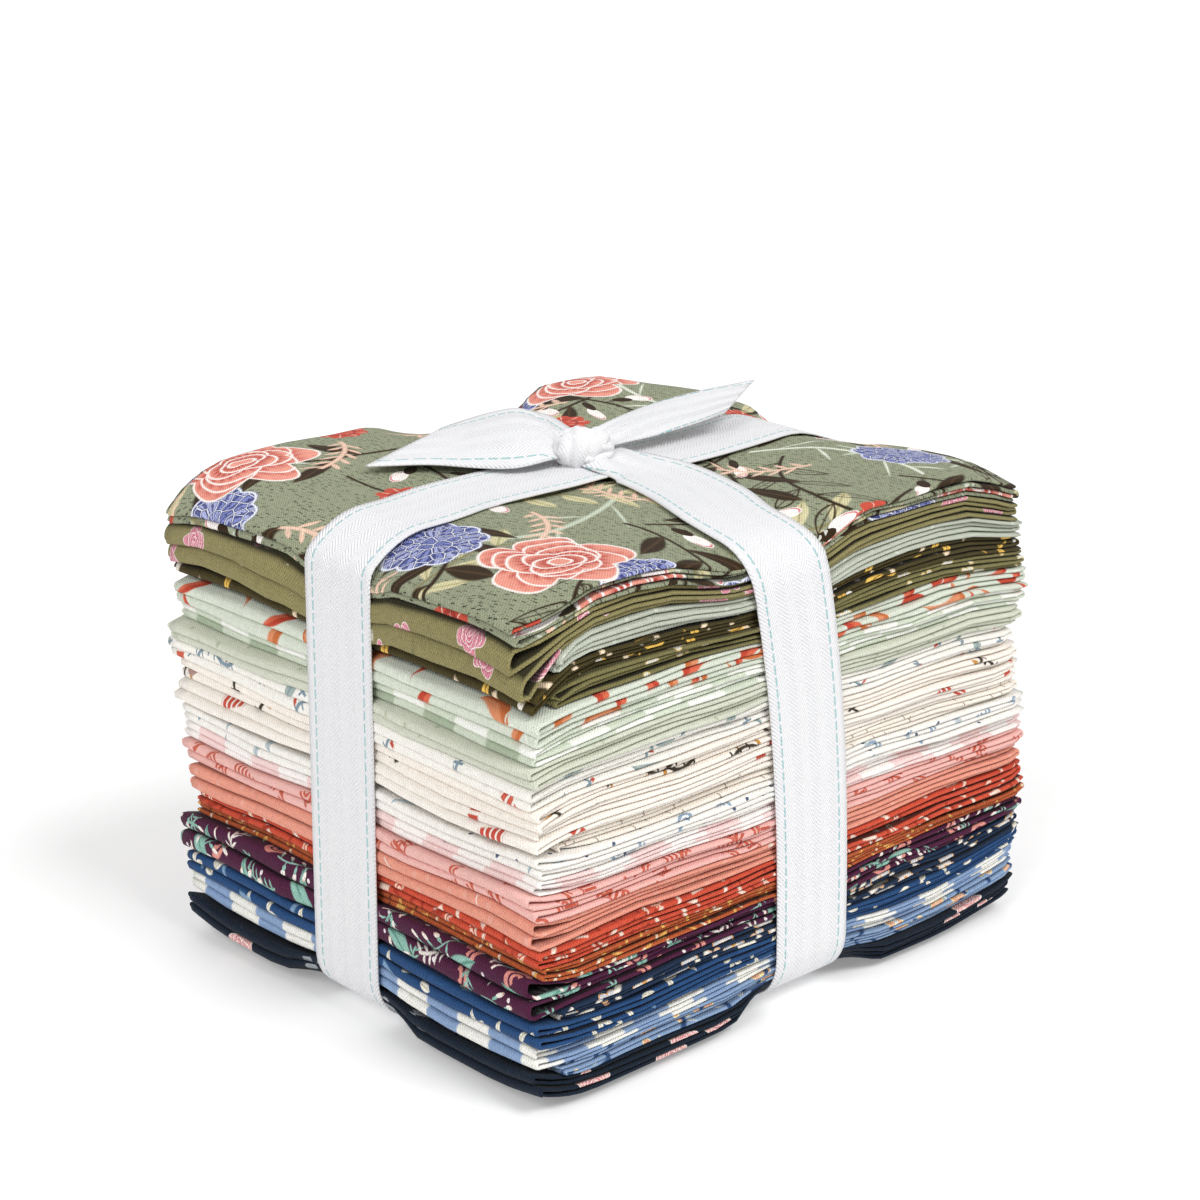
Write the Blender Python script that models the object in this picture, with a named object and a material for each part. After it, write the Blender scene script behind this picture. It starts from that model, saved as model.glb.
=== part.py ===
"""Fat quarter bundle: folded cuts of quilting cotton, stacked and tied crosswise with one ribbon.

Each cut is folded to a strip and then back and forth, so its section has four plies: two round
folds at -X, one at +X and two free ends at +X. The ribbon presses the stack in, and the cloth
puffs up between its bands. +Z is up, +X runs along the longer side, and the origin is under
the middle of the stack on the surface that it rests on.
"""

import math
from collections import namedtuple

import bmesh
import bpy
from mathutils import Vector

MM = 0.001

# Footprint and heights of the stack
HALF_LENGTH = 68.5 * MM
HALF_DEPTH = 57.15 * MM
MIDDLE_TOP = 104.6 * MM
LEFT_BOTTOM = 3.2 * MM
LEFT_TOP = 97.0 * MM
RIGHT_BOTTOM = 4.0 * MM
RIGHT_TOP = 99.0 * MM

# Places where the top and the underside start to bend towards the sides
LEFT_BEND = -59.5 * MM
RIGHT_BEND = 45.0 * MM
DEPTH_BEND = 44.0 * MM

# Gaps between cuts and between the plies of one cut, and the reach of a round fold
CUT_GAP = 0.40 * MM
PLY_GAP_SHARE = 0.08
FOLD_REACH = 0.95 * MM
PLIES = 4
FOLD_STEPS = 4

# Unevenness of the cuts: the most that the left folds run out of line and that the right and
# the back ends stand back. Each goes from cut to cut by a sine, with this many radians a cut
LEFT_SKEW = 0.45 * MM
LEFT_SKEW_TURN = 2.4
RIGHT_UNEVEN = 0.9 * MM
RIGHT_UNEVEN_TURN = 1.7
RIGHT_UNEVEN_START = 1.0
BACK_UNEVEN = 0.5 * MM
BACK_UNEVEN_TURN = 2.9
SMOOTH_ANGLE = math.radians(35.0)

# Cuts at the top and at the bottom that follow the puffed shape
PUFFED_TOP_CUTS = 5
PUFFED_BOTTOM_CUTS = 3
TOP_EDGE_DROOP = 1.2 * MM
TOP_GROOVE = 1.0 * MM
TOP_EDGE_DIP = 3.3 * MM
BOTTOM_EDGE_LIFT = 1.8 * MM
BOTTOM_GROOVE = 1.9 * MM
BOTTOM_EDGE_DIP = 3.6 * MM

# Ribbon
RIBBON_WIDTH = 20.5 * MM
RIBBON_THICKNESS = 1.0 * MM
RIBBON_CLEARANCE_LONG = 0.62 * MM
RIBBON_CLEARANCE_SHORT = 0.46 * MM
GROOVE_HALF_WIDTH = 10.7 * MM
TOP_GROOVE_FADE_LEFT = 30.0 * MM
TOP_GROOVE_FADE_RIGHT = 24.0 * MM
BOTTOM_GROOVE_FADE = 22.0 * MM
SIDE_PROUD = 0.9 * MM
SHOULDER_PROUD = 0.6 * MM
SHOULDER_INSET = 2.5 * MM
SHOULDER_DROP = 3.0 * MM
SHOULDER_LIFT = 4.5 * MM

# Centre lines of the two bands. The long band runs along X, the short band along Y. On top each
# goes straight from the knot to its place at the rim, and underneath it goes straight across
LONG_BAND_LEFT_Y = 0.8 * MM
LONG_BAND_RIGHT_Y = 2.4 * MM
LONG_BAND_UNDER_Y = 5.8 * MM
LONG_BAND_UNDER_SLOPE = -0.011
SHORT_BAND_FRONT_X = -4.7 * MM
SHORT_BAND_BACK_X = 5.0 * MM
SHORT_BAND_UNDER_X = 6.2 * MM
SHORT_BAND_UNDER_SLOPE = -0.004

# Knot
KNOT_CENTRE = Vector((-3.4, 3.2, 108.6)) * MM
KNOT_RADII = Vector((7.4, 6.2, 4.4)) * MM
KNOT_LOBES = 3
KNOT_LOBE_SHARE = 0.09
KNOT_LOBE_TURN = 0.6

# Every cut from the top down. Left and middle are its thickness in millimetres at the folds on
# the left and inside the stack; recess_left and recess_front are how far it stands back there.
Cut = namedtuple("Cut", "name colour left middle recess_left recess_front")
CUTS = (
    Cut("sage_floral", "8b9682", 3.0, 4.4, 0.0, 0.0),
    Cut("khaki_rose", "968f70", 8.8, 4.6, -0.6, 0.4),
    Cut("grey_back", "c4cbc0", 0.8, 4.6, 7.0, 0.2),
    Cut("dark_olive", "544c30", 3.2, 3.8, 1.4, 0.5),
    Cut("olive_sprig", "8c885f", 0.9, 4.0, 7.0, 0.0),
    Cut("mint_leaf", "cddac8", 7.0, 5.2, 0.4, -0.4),
    Cut("mint_gingham", "c9d8c0", 3.6, 4.2, 1.2, 0.1),
    Cut("light_sage", "c8d2bc", 4.4, 4.3, -0.7, -0.5),
    Cut("white_floral", "f0eee8", 5.2, 4.8, 0.3, 0.5),
    Cut("cream_branch", "f0e8de", 4.6, 4.2, 0.9, 0.0),
    Cut("cream_stamp", "f3ebe0", 4.0, 4.2, 0.2, -0.3),
    Cut("cream_fine", "efe6da", 1.2, 4.0, 6.6, 0.6),
    Cut("white_dot", "eeece8", 4.1, 4.6, 0.6, -0.7),
    Cut("pink_gingham", "f0c4c8", 3.4, 4.0, 1.3, 0.3),
    Cut("pink_loop", "ebbec3", 5.0, 4.6, 0.2, 0.0),
    Cut("coral", "eb8c73", 6.6, 5.0, -0.5, 0.4),
    Cut("tomato", "d75032", 3.2, 4.2, 0.8, -0.4),
    Cut("rust", "dc733c", 3.2, 4.0, 1.5, 0.2),
    Cut("plum", "552341", 7.0, 5.0, -0.2, 0.5),
    Cut("navy_floral", "1e3250", 0.9, 3.8, 7.0, 0.0),
    Cut("blue_leaf", "2d558c", 5.9, 4.6, 0.2, -0.5),
    Cut("blue_gingham", "8ca5cd", 4.0, 4.2, 1.0, 0.3),
    Cut("sky_floral", "93add0", 1.2, 4.0, 6.6, 0.0),
    Cut("midnight", "192332", 5.8, 5.2, 0.1, -0.6),
)
RIBBON_COLOUR = "f0f0f2"
CLOTH_ROUGHNESS = 0.9
RIBBON_ROUGHNESS = 0.75

# The two free tails of the ribbon: a row for each section, with its front and back edge in
# millimetres, counted from the knot to the slanted end
TailRow = namedtuple("TailRow", "front_x front_y front_z back_x back_y back_z")
LEFT_TAIL = (
    TailRow(-4.5, 1.5, 106.6, -1.0, 8.5, 109.0),
    TailRow(-8.5, 5.5, 106.9, -1.5, 16.0, 111.6),
    TailRow(-14.5, 11.0, 106.6, -1.0, 24.5, 112.0),
    TailRow(-20.5, 17.0, 106.3, -3.5, 31.5, 110.2),
    TailRow(-28.5, 24.0, 106.3, -7.5, 38.5, 107.2),
    TailRow(-38.5, 31.0, 106.6, -11.0, 42.0, 106.6),
)
RIGHT_TAIL = (
    TailRow(-1.0, -0.5, 108.0, -2.5, 8.0, 109.5),
    TailRow(7.0, 0.0, 108.6, 7.0, 13.0, 110.0),
    TailRow(17.0, 0.5, 108.9, 20.0, 17.0, 110.5),
    TailRow(27.0, -0.5, 110.2, 33.0, 15.5, 111.8),
    TailRow(36.0, -1.5, 112.2, 44.0, 10.5, 113.4),
    TailRow(41.0, -1.5, 113.4, 52.5, 6.5, 114.6),
)


def ramp(value, start, end):
    """0 before start, then rising in a straight line that passes 1 at end."""
    return max(0.0, (value - start) / (end - start))


def mix(a, b, share):
    return a + (b - a) * share


def trapezoid(distance, half_width, fade_end):
    """1 within half_width of a line, falling to 0 at fade_end from it."""
    return 1.0 - min(1.0, ramp(distance, half_width, fade_end))


def long_band_top_y(x):
    side_y = LONG_BAND_LEFT_Y if x < KNOT_CENTRE.x else LONG_BAND_RIGHT_Y
    side_x = -HALF_LENGTH if x < KNOT_CENTRE.x else HALF_LENGTH
    return mix(KNOT_CENTRE.y, side_y, (x - KNOT_CENTRE.x) / (side_x - KNOT_CENTRE.x))


def long_band_bottom_y(x):
    return LONG_BAND_UNDER_Y + LONG_BAND_UNDER_SLOPE * x


def short_band_top_x(y):
    side_x = SHORT_BAND_FRONT_X if y < KNOT_CENTRE.y else SHORT_BAND_BACK_X
    side_y = -HALF_DEPTH if y < KNOT_CENTRE.y else HALF_DEPTH
    return mix(KNOT_CENTRE.x, side_x, (y - KNOT_CENTRE.y) / (side_y - KNOT_CENTRE.y))


def short_band_bottom_x(y):
    return SHORT_BAND_UNDER_X + SHORT_BAND_UNDER_SLOPE * y


def stack_up(thicknesses, bottom, top):
    """Heights of the faces between cuts, from the underside up, fitted between two heights."""
    scale = (top - bottom) / sum(thicknesses)
    heights = [bottom]
    for thickness in reversed(thicknesses):
        heights.append(heights[-1] + thickness * scale)
    return heights


LEFT_HEIGHTS = stack_up([cut.left for cut in CUTS], LEFT_BOTTOM, LEFT_TOP)
MIDDLE_HEIGHTS = stack_up([cut.middle for cut in CUTS], 0.0, MIDDLE_TOP)
RIGHT_HEIGHTS = stack_up([cut.middle for cut in CUTS], RIGHT_BOTTOM, RIGHT_TOP)
TOP_LEVEL = len(CUTS)


def top_relief(x, y):
    """How far the top stands off its plain height: the bands' grooves and the drooping rims."""
    rim = ramp(abs(y), DEPTH_BEND, HALF_DEPTH)
    across = x - short_band_top_x(y)
    fade = TOP_GROOVE_FADE_LEFT if across < 0 else TOP_GROOVE_FADE_RIGHT
    short_band = trapezoid(abs(across), GROOVE_HALF_WIDTH, fade)
    long_band = trapezoid(abs(y - long_band_top_y(x)), GROOVE_HALF_WIDTH, DEPTH_BEND)
    short_depth = mix(TOP_GROOVE, TOP_EDGE_DIP, rim)
    return -TOP_EDGE_DROOP * rim - max(short_band * short_depth, long_band * TOP_GROOVE)


def bottom_relief(x, y):
    """The same for the underside, which is flat on the surface between the bands."""
    rim = ramp(abs(y), DEPTH_BEND, HALF_DEPTH)
    end = ramp(-x, -LEFT_BEND, HALF_LENGTH) if x < 0 else ramp(x, RIGHT_BEND, HALF_LENGTH)
    short_band = trapezoid(abs(x - short_band_bottom_x(y)), GROOVE_HALF_WIDTH, BOTTOM_GROOVE_FADE)
    long_band = trapezoid(abs(y - long_band_bottom_y(x)), GROOVE_HALF_WIDTH, BOTTOM_GROOVE_FADE)
    short_depth = mix(BOTTOM_GROOVE, BOTTOM_EDGE_DIP - BOTTOM_EDGE_LIFT, rim)
    long_depth = mix(BOTTOM_GROOVE, BOTTOM_EDGE_DIP - BOTTOM_EDGE_LIFT, end)
    return BOTTOM_EDGE_LIFT * rim + max(short_band * short_depth, long_band * long_depth)


def face_height(level, x, y):
    """Height of the face that has this many cuts below it."""
    if x < LEFT_BEND:
        share = (x - LEFT_BEND) / (-HALF_LENGTH - LEFT_BEND)
        height = mix(MIDDLE_HEIGHTS[level], LEFT_HEIGHTS[level], share)
    elif x > RIGHT_BEND:
        share = (x - RIGHT_BEND) / (HALF_LENGTH - RIGHT_BEND)
        height = mix(MIDDLE_HEIGHTS[level], RIGHT_HEIGHTS[level], share)
    else:
        height = MIDDLE_HEIGHTS[level]
    top_share = 1.0 - (TOP_LEVEL - level) / PUFFED_TOP_CUTS
    bottom_share = 1.0 - level / PUFFED_BOTTOM_CUTS
    if top_share > 0:
        height += top_share * top_relief(x, y)
    if bottom_share > 0:
        height += bottom_share * bottom_relief(x, y)
    return height


# Where a groove starts and ends across its band, counted from the band's centre line
GROOVE_EDGES = [-GROOVE_HALF_WIDTH, GROOVE_HALF_WIDTH]
TOP_GROOVE_LINES = [-TOP_GROOVE_FADE_LEFT] + GROOVE_EDGES + [TOP_GROOVE_FADE_RIGHT]
BOTTOM_GROOVE_LINES = [-BOTTOM_GROOVE_FADE] + GROOVE_EDGES + [BOTTOM_GROOVE_FADE]
TOP_ROWS = [-DEPTH_BEND] + [KNOT_CENTRE.y + d for d in GROOVE_EDGES] + [DEPTH_BEND]
BOTTOM_ROWS = [-DEPTH_BEND] + [LONG_BAND_UNDER_Y + d for d in BOTTOM_GROOVE_LINES] + [DEPTH_BEND]


def knot_lines(kind):
    """Where the faces of a cut bend: X places as functions of Y, and the Y places."""
    if kind == "top":
        middle = [lambda y, d=d: short_band_top_x(y) + d for d in TOP_GROOVE_LINES]
        rows = TOP_ROWS
    elif kind == "bottom":
        middle = [lambda y, d=d: short_band_bottom_x(y) + d for d in BOTTOM_GROOVE_LINES]
        rows = BOTTOM_ROWS
    else:
        middle = []
        rows = []
    return [lambda y: LEFT_BEND] + middle + [lambda y: RIGHT_BEND], rows


def cut_kind(index):
    if index < PUFFED_TOP_CUTS:
        return "top"
    if index >= len(CUTS) - PUFFED_BOTTOM_CUTS:
        return "bottom"
    return "plain"


def fold_arc(height, reach, steps, side):
    """Points of a round fold as (x beyond the flat ply, height from its middle), top to bottom."""
    angles = [math.pi * step / steps for step in range(1, steps)]
    return [(side * reach * math.sin(angle), height * math.cos(angle)) for angle in angles]


# A stretch of the cloth's path in the section: a ply between two folds, or a round fold. Over
# and under are its points as (x, share of the cut's height) on the two sides of the cloth. The
# points of a ply are level with each other, and of a fold's two sides one is the outer side
Stretch = namedtuple("Stretch", "kind over under")


def section(index, y, x_lines):
    """The section of one cut at one place along its folds, as stretches from its upper end."""
    cut = CUTS[index]
    skew = LEFT_SKEW * math.sin(LEFT_SKEW_TURN * index) * y / HALF_DEPTH
    left = -HALF_LENGTH + cut.recess_left * MM + FOLD_REACH + skew
    uneven = 1.0 + math.sin(RIGHT_UNEVEN_TURN * index + RIGHT_UNEVEN_START)
    right = HALF_LENGTH - RIGHT_UNEVEN * uneven - FOLD_REACH
    ply = (1.0 - (PLIES - 1) * PLY_GAP_SHARE) / PLIES
    pitch = ply + PLY_GAP_SHARE
    inner_reach = FOLD_REACH * PLY_GAP_SHARE / 2 / pitch
    stretches = []
    for number in range(PLIES):
        top = 1.0 - number * pitch
        goes_left = number % 2 == 0
        stations = [left] + [line(y) for line in x_lines] + [right]
        if goes_left:
            stations.reverse()
        upper = [(x, top) for x in stations]
        lower = [(x, top - ply) for x in stations]
        stretches.append(Stretch("ply", upper, lower) if goes_left else Stretch("ply", lower, upper))
        if number == PLIES - 1:
            break
        anchor = left if goes_left else right
        side = -1 if goes_left else 1
        middle = top - ply - PLY_GAP_SHARE / 2
        outer_arc = fold_arc(ply + PLY_GAP_SHARE / 2, FOLD_REACH, FOLD_STEPS, side)
        inner_arc = fold_arc(PLY_GAP_SHARE / 2, inner_reach, 2, side)
        outer = [(anchor + x, middle + share) for x, share in outer_arc]
        inner = [(anchor + x, middle + share) for x, share in inner_arc]
        over, under = (outer, inner) if goes_left else (inner, outer)
        stretches.append(Stretch("fold", over, under))
    return stretches


def colour_value(code):
    """Linear RGBA of a hexadecimal sRGB colour."""
    parts = [int(code[start : start + 2], 16) / 255.0 for start in (0, 2, 4)]
    linear = [p / 12.92 if p <= 0.04045 else ((p + 0.055) / 1.055) ** 2.4 for p in parts]
    return (*linear, 1.0)


def cloth_material(name, code, roughness):
    material = bpy.data.materials.new(name)
    material.use_nodes = True
    shader = material.node_tree.nodes["Principled BSDF"]
    shader.inputs["Base Color"].default_value = colour_value(code)
    shader.inputs["Roughness"].default_value = roughness
    shader.inputs["Metallic"].default_value = 0.0
    return material


def object_from(bm, name, material):
    bmesh.ops.recalc_face_normals(bm, faces=bm.faces)
    mesh = bpy.data.meshes.new(name)
    bm.to_mesh(mesh)
    bm.free()
    obj = bpy.data.objects.new(name, mesh)
    bpy.context.scene.collection.objects.link(obj)
    mesh.materials.append(material)
    return obj


def split_quad(bm, start_near, end_near, end_far, start_far):
    """Two triangles for a quad, always parted from its low X, near Y corner to the far one."""
    if start_near.co.x > end_near.co.x:
        bm.faces.new((end_near, end_far, start_far))
        bm.faces.new((end_near, start_far, start_near))
    else:
        bm.faces.new((start_near, end_near, end_far))
        bm.faces.new((start_near, end_far, start_far))


def close_end(bm, stretches, over, under):
    """Closes one end of a cut with faces between the two sides of its cloth."""
    first_over = first_under = 0
    for stretch in stretches:
        if stretch.kind == "ply":
            for step in range(len(stretch.over) - 1):
                a = first_over + step
                b = first_under + step
                bm.faces.new((over[a], over[a + 1], under[b + 1], under[b]))
        else:
            outer = over[first_over - 1 : first_over + len(stretch.over) + 1]
            inner = under[first_under - 1 : first_under + len(stretch.under) + 1]
            if len(outer) < len(inner):
                outer, inner = inner, outer
            before, crease, after = inner
            crown = len(outer) // 2
            for step in range(crown):
                bm.faces.new((before, outer[step], outer[step + 1]))
                bm.faces.new((after, outer[crown + step], outer[crown + step + 1]))
            bm.faces.new((before, outer[crown], crease))
            bm.faces.new((after, outer[crown], crease))
        first_over += len(stretch.over)
        first_under += len(stretch.under)


def add_cut(index):
    """One folded cut of cloth: its section carried along Y, between the faces of its neighbours."""
    cut = CUTS[index]
    lower_level = TOP_LEVEL - 1 - index
    x_lines, rows = knot_lines(cut_kind(index))
    near = -HALF_DEPTH + cut.recess_front * MM
    far = HALF_DEPTH - BACK_UNEVEN * (1.0 + math.sin(BACK_UNEVEN_TURN * index))
    bm = bmesh.new()

    def vertex(x, y, share):
        lower = face_height(lower_level, x, y)
        upper = face_height(lower_level + 1, x, y)
        if lower_level > 0:
            lower += CUT_GAP / 2
        if index > 0:
            upper -= CUT_GAP / 2
        return bm.verts.new((x, y, mix(lower, upper, share)))

    rings = []
    for y in [near] + rows + [far]:
        stretches = section(index, y, x_lines)
        over = [vertex(x, y, share) for stretch in stretches for x, share in stretch.over]
        under = [vertex(x, y, share) for stretch in stretches for x, share in stretch.under]
        if y in (near, far):
            close_end(bm, stretches, over, under)
        rings.append(over + list(reversed(under)))
    count = len(rings[0])
    for ring, following in zip(rings, rings[1:]):
        for start in range(count):
            end = (start + 1) % count
            split_quad(bm, ring[start], ring[end], following[end], following[start])
    name = f"fat_quarter_{index + 1:02d}"
    obj = object_from(bm, name, cloth_material(cut.name, cut.colour, CLOTH_ROUGHNESS))
    obj.data.shade_smooth()
    obj.data.set_sharp_from_angle(angle=SMOOTH_ANGLE)
    return obj


def offset_outline(points, distance):
    """A closed outline moved outwards by a distance; the points run clockwise seen from the front."""
    moved = []
    count = len(points)
    for index, (x, z) in enumerate(points):
        before = Vector(points[index - 1])
        after = Vector(points[(index + 1) % count])
        here = Vector((x, z))
        arriving = (here - before).normalized()
        leaving = (after - here).normalized()
        normals = [Vector((-d.y, d.x)) for d in (arriving, leaving)]
        bisector = (normals[0] + normals[1]).normalized()
        moved.append(here + bisector * (distance / max(0.5, bisector.dot(normals[0]))))
    return moved


def band_outline(half, top_places, bottom_places, top_height, bottom_height):
    """The stack's outline in the upright plane of one band, clockwise from the low left."""
    proud = half + SIDE_PROUD
    shoulder = half + SHOULDER_PROUD
    flank = half - SHOULDER_INSET
    top = [-flank] + list(top_places) + [flank]
    bottom = [flank] + list(reversed(bottom_places)) + [-flank]
    outline = [
        (-proud, bottom_height(-half) + SHOULDER_LIFT),
        (-proud, top_height(-half) - SHOULDER_DROP),
    ]
    outline.append((-shoulder, top_height(-half)))
    outline += [(place, top_height(place)) for place in top]
    outline.append((shoulder, top_height(half)))
    outline.append((proud, top_height(half) - SHOULDER_DROP))
    outline.append((proud, bottom_height(half) + SHOULDER_LIFT))
    outline.append((shoulder, bottom_height(half)))
    outline += [(place, bottom_height(place)) for place in bottom]
    outline.append((-shoulder, bottom_height(-half)))
    return outline


def closed_strip(centres, thickness_ways, width_way, width, thickness):
    """A closed loop of flat ribbon through the given centres."""
    bm = bmesh.new()
    rings = []
    for centre, way in zip(centres, thickness_ways):
        corners = []
        for across, out in ((-1, -1), (1, -1), (1, 1), (-1, 1)):
            corner = centre + width_way * (across * width / 2) + way * (out * thickness / 2)
            corners.append(bm.verts.new(corner))
        rings.append(corners)
    for ring, following in zip(rings, rings[1:] + rings[:1]):
        for start in range(4):
            end = (start + 1) % 4
            bm.faces.new((ring[start], ring[end], following[end], following[start]))
    bmesh.ops.triangulate(bm, faces=bm.faces)
    return bm


def band_loop(name, outline, clearance, place, width_way, material):
    """One band round the stack; place turns a point of its plane into a point in space."""
    middle = offset_outline(outline, clearance + RIBBON_THICKNESS / 2)
    outer = offset_outline(outline, clearance + RIBBON_THICKNESS)
    centres = [place(point) for point in middle]
    ways = [(place(o) - place(m)) * 2 / RIBBON_THICKNESS for o, m in zip(outer, middle)]
    bm = closed_strip(centres, ways, width_way, RIBBON_WIDTH, RIBBON_THICKNESS)
    return object_from(bm, name, material)


def side_mix(z, top_value, bottom_value):
    """A band's place across a side face, slanting from the top to the bottom."""
    share = min(1.0, max(0.0, z / LEFT_TOP))
    return mix(bottom_value, top_value, share)


def long_band(material):
    top_places = [KNOT_CENTRE.x + d for d in TOP_GROOVE_LINES]
    bottom_places = [SHORT_BAND_UNDER_X + d for d in BOTTOM_GROOVE_LINES]
    outline = band_outline(
        HALF_LENGTH,
        [LEFT_BEND] + top_places + [RIGHT_BEND],
        [LEFT_BEND] + bottom_places + [RIGHT_BEND],
        lambda x: face_height(TOP_LEVEL, x, long_band_top_y(x)),
        lambda x: face_height(0, x, long_band_bottom_y(x)),
    )

    def place(point):
        x, z = point
        y = side_mix(z, long_band_top_y(x), long_band_bottom_y(x))
        return Vector((x, y, z))

    return band_loop("ribbon", outline, RIBBON_CLEARANCE_LONG, place, Vector((0, 1, 0)), material)


def short_band(material):
    outline = band_outline(
        HALF_DEPTH,
        TOP_ROWS,
        BOTTOM_ROWS,
        lambda y: face_height(TOP_LEVEL, short_band_top_x(y), y),
        lambda y: face_height(0, short_band_bottom_x(y), y),
    )

    def place(point):
        y, z = point
        x = side_mix(z, short_band_top_x(y), short_band_bottom_x(y))
        return Vector((x, y, z))

    return band_loop("short_band", outline, RIBBON_CLEARANCE_SHORT, place, Vector((1, 0, 0)), material)


def tail(name, rows, material):
    """A free end of the ribbon: sections between its front and its back edge, cut on a slant."""
    bm = bmesh.new()
    rings = []
    for row in rows:
        front = Vector((row.front_x, row.front_y, row.front_z)) * MM
        back = Vector((row.back_x, row.back_y, row.back_z)) * MM
        way = Vector((0, 0, RIBBON_THICKNESS / 2))
        rings.append([bm.verts.new(p) for p in (front - way, back - way, back + way, front + way)])
    for ring, following in zip(rings, rings[1:]):
        for start in range(4):
            end = (start + 1) % 4
            bm.faces.new((ring[start], ring[end], following[end], following[start]))
    bm.faces.new(rings[0])
    bm.faces.new(list(reversed(rings[-1])))
    bmesh.ops.triangulate(bm, faces=bm.faces)
    return object_from(bm, name, material)


def knot(material):
    """The tied lump, flattened below where it sits on the crossing bands."""
    bm = bmesh.new()
    bmesh.ops.create_icosphere(bm, subdivisions=2, radius=1.0)
    for vert in bm.verts:
        turn = KNOT_LOBES * math.atan2(vert.co.y, vert.co.x) + KNOT_LOBE_TURN
        bulge = 1.0 + KNOT_LOBE_SHARE * math.sin(turn)
        vert.co.x *= KNOT_RADII.x * bulge
        vert.co.y *= KNOT_RADII.y * bulge
        vert.co.z *= KNOT_RADII.z
        vert.co += KNOT_CENTRE
    return object_from(bm, "knot", material)


def join_to(body, piece):
    """Fuses a helper piece to a body by a union; the helper itself isn't a sub-part."""
    piece.hide_render = True
    piece.display_type = "WIRE"
    union = body.modifiers.new(f"join_{piece.name}", "BOOLEAN")
    union.operation = "UNION"
    union.solver = "EXACT"
    union.object = piece


def add_ribbon():
    """The one ribbon: two bands crossed above and below, the knot and its two free tails."""
    material = cloth_material("ribbon", RIBBON_COLOUR, RIBBON_ROUGHNESS)
    ribbon = long_band(material)
    join_to(ribbon, short_band(material))
    join_to(ribbon, knot(material))
    join_to(ribbon, tail("left_tail", LEFT_TAIL, material))
    join_to(ribbon, tail("right_tail", RIGHT_TAIL, material))
    return ribbon


def main():
    for obj in list(bpy.data.objects):
        bpy.data.objects.remove(obj, do_unlink=True)
    for index in range(len(CUTS)):
        add_cut(index)
    add_ribbon()


main()
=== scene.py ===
"""Looks of the fat quarter bundle: every cut as a real sheet of printed cotton, folded sixteen
layers thick, and one woven ribbon tied round the stack.

Lengths are in millimetres until a mesh is made. The frame is the one of the solids: +Z up, +X
along the longer side, the origin under the middle of the stack.
"""

import math
from collections import namedtuple
from functools import partialmethod, reduce

import bpy
import numpy as np
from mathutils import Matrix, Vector


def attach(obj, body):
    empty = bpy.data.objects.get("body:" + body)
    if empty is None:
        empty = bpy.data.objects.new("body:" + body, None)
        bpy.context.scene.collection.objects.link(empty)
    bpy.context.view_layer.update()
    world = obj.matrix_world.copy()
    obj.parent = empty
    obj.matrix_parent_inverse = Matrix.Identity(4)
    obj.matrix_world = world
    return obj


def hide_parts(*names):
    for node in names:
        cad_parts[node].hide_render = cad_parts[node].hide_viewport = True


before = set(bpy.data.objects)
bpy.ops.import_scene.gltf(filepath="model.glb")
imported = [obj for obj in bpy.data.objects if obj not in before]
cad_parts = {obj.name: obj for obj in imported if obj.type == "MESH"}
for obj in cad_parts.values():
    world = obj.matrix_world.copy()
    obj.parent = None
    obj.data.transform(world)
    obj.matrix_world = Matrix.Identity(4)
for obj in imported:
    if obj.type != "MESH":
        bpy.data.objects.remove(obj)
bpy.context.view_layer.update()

MM = 0.001

# Footprint and heights of the stack
HALF_LENGTH = 68.5
HALF_DEPTH = 57.15
MIDDLE_TOP = 104.9
LEFT_BOTTOM = 2.8
LEFT_TOP = 99.4
RIGHT_BOTTOM = 2.1
RIGHT_TOP = 100.9
LEFT_BEND = -60.5
RIGHT_BEND = 50.0
DEPTH_BEND = 46.0
BEND_EASE = 6.0
DIP_BEND = 40.0
DIP_EASE = 8.0

# Relief of the top and of the underside, which fades out over some cuts
PUFFED_TOP_CUTS = 6.0
PUFFED_BOTTOM_CUTS = 4.0
TOP_PUFF = 0.5
TOP_GROOVE = 1.1
TOP_EDGE_DIP = 4.3
LEFT_END_DIP = 2.3
RIGHT_END_DIP = 3.2
TOP_EDGE_DROOP = 0.5
TOP_CORNER_DROOP = 1.8
TOP_CORNER_BEND = 56.0
BOTTOM_GROOVE = 2.0
BOTTOM_EDGE_DIP = 3.6
BOTTOM_EDGE_LIFT = 1.8
BOTTOM_END_BEND = 50.0
GROOVE_HALF_WIDTH = 9.0
LEFT_DIP_FADE = 18.0
RIGHT_DIP_FADE = 12.0
TOP_FADE_LEFT = 33.0
TOP_FADE_RIGHT = 26.0
TOP_FADE_BACK_LEFT = 31.0
TOP_FADE_BACK_RIGHT = 17.0
BACK_START = 30.0
BOTTOM_FADE = 24.0

# Ribbon
RIBBON_WIDTH = 20.5
RIBBON_CLOTH = 0.34
KNOT = np.array((-3.4, 3.2, 108.4))
LONG_BAND_UNDER_Y = 1.6
SHORT_BAND_UNDER_X = 6.2
# The middle of each band on top, by (x, y) and by (y, x)
LONG_BAND_ON_TOP = (
    (-74.0, 0.7), (-50.0, 1.0), (-33.0, 3.2), (-3.4, 1.6),
    (16.0, -1.2), (36.0, -0.6), (54.0, 1.4), (74.0, 2.5),
)
SHORT_BAND_ON_TOP = (
    (-64.0, -4.9), (-52.0, -4.8), (-41.0, -3.6), (-26.0, 1.6), (-11.0, 4.4),
    (1.0, 1.2), (22.0, 3.2), (42.0, 9.4), (64.0, 13.0),
)

# How round the bands turn over the rims at the top and at the underside
LONG_TOP_RADIUS = 4.0
SHORT_TOP_RADIUS = 9.0
UNDER_RADIUS = 10.0
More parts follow.
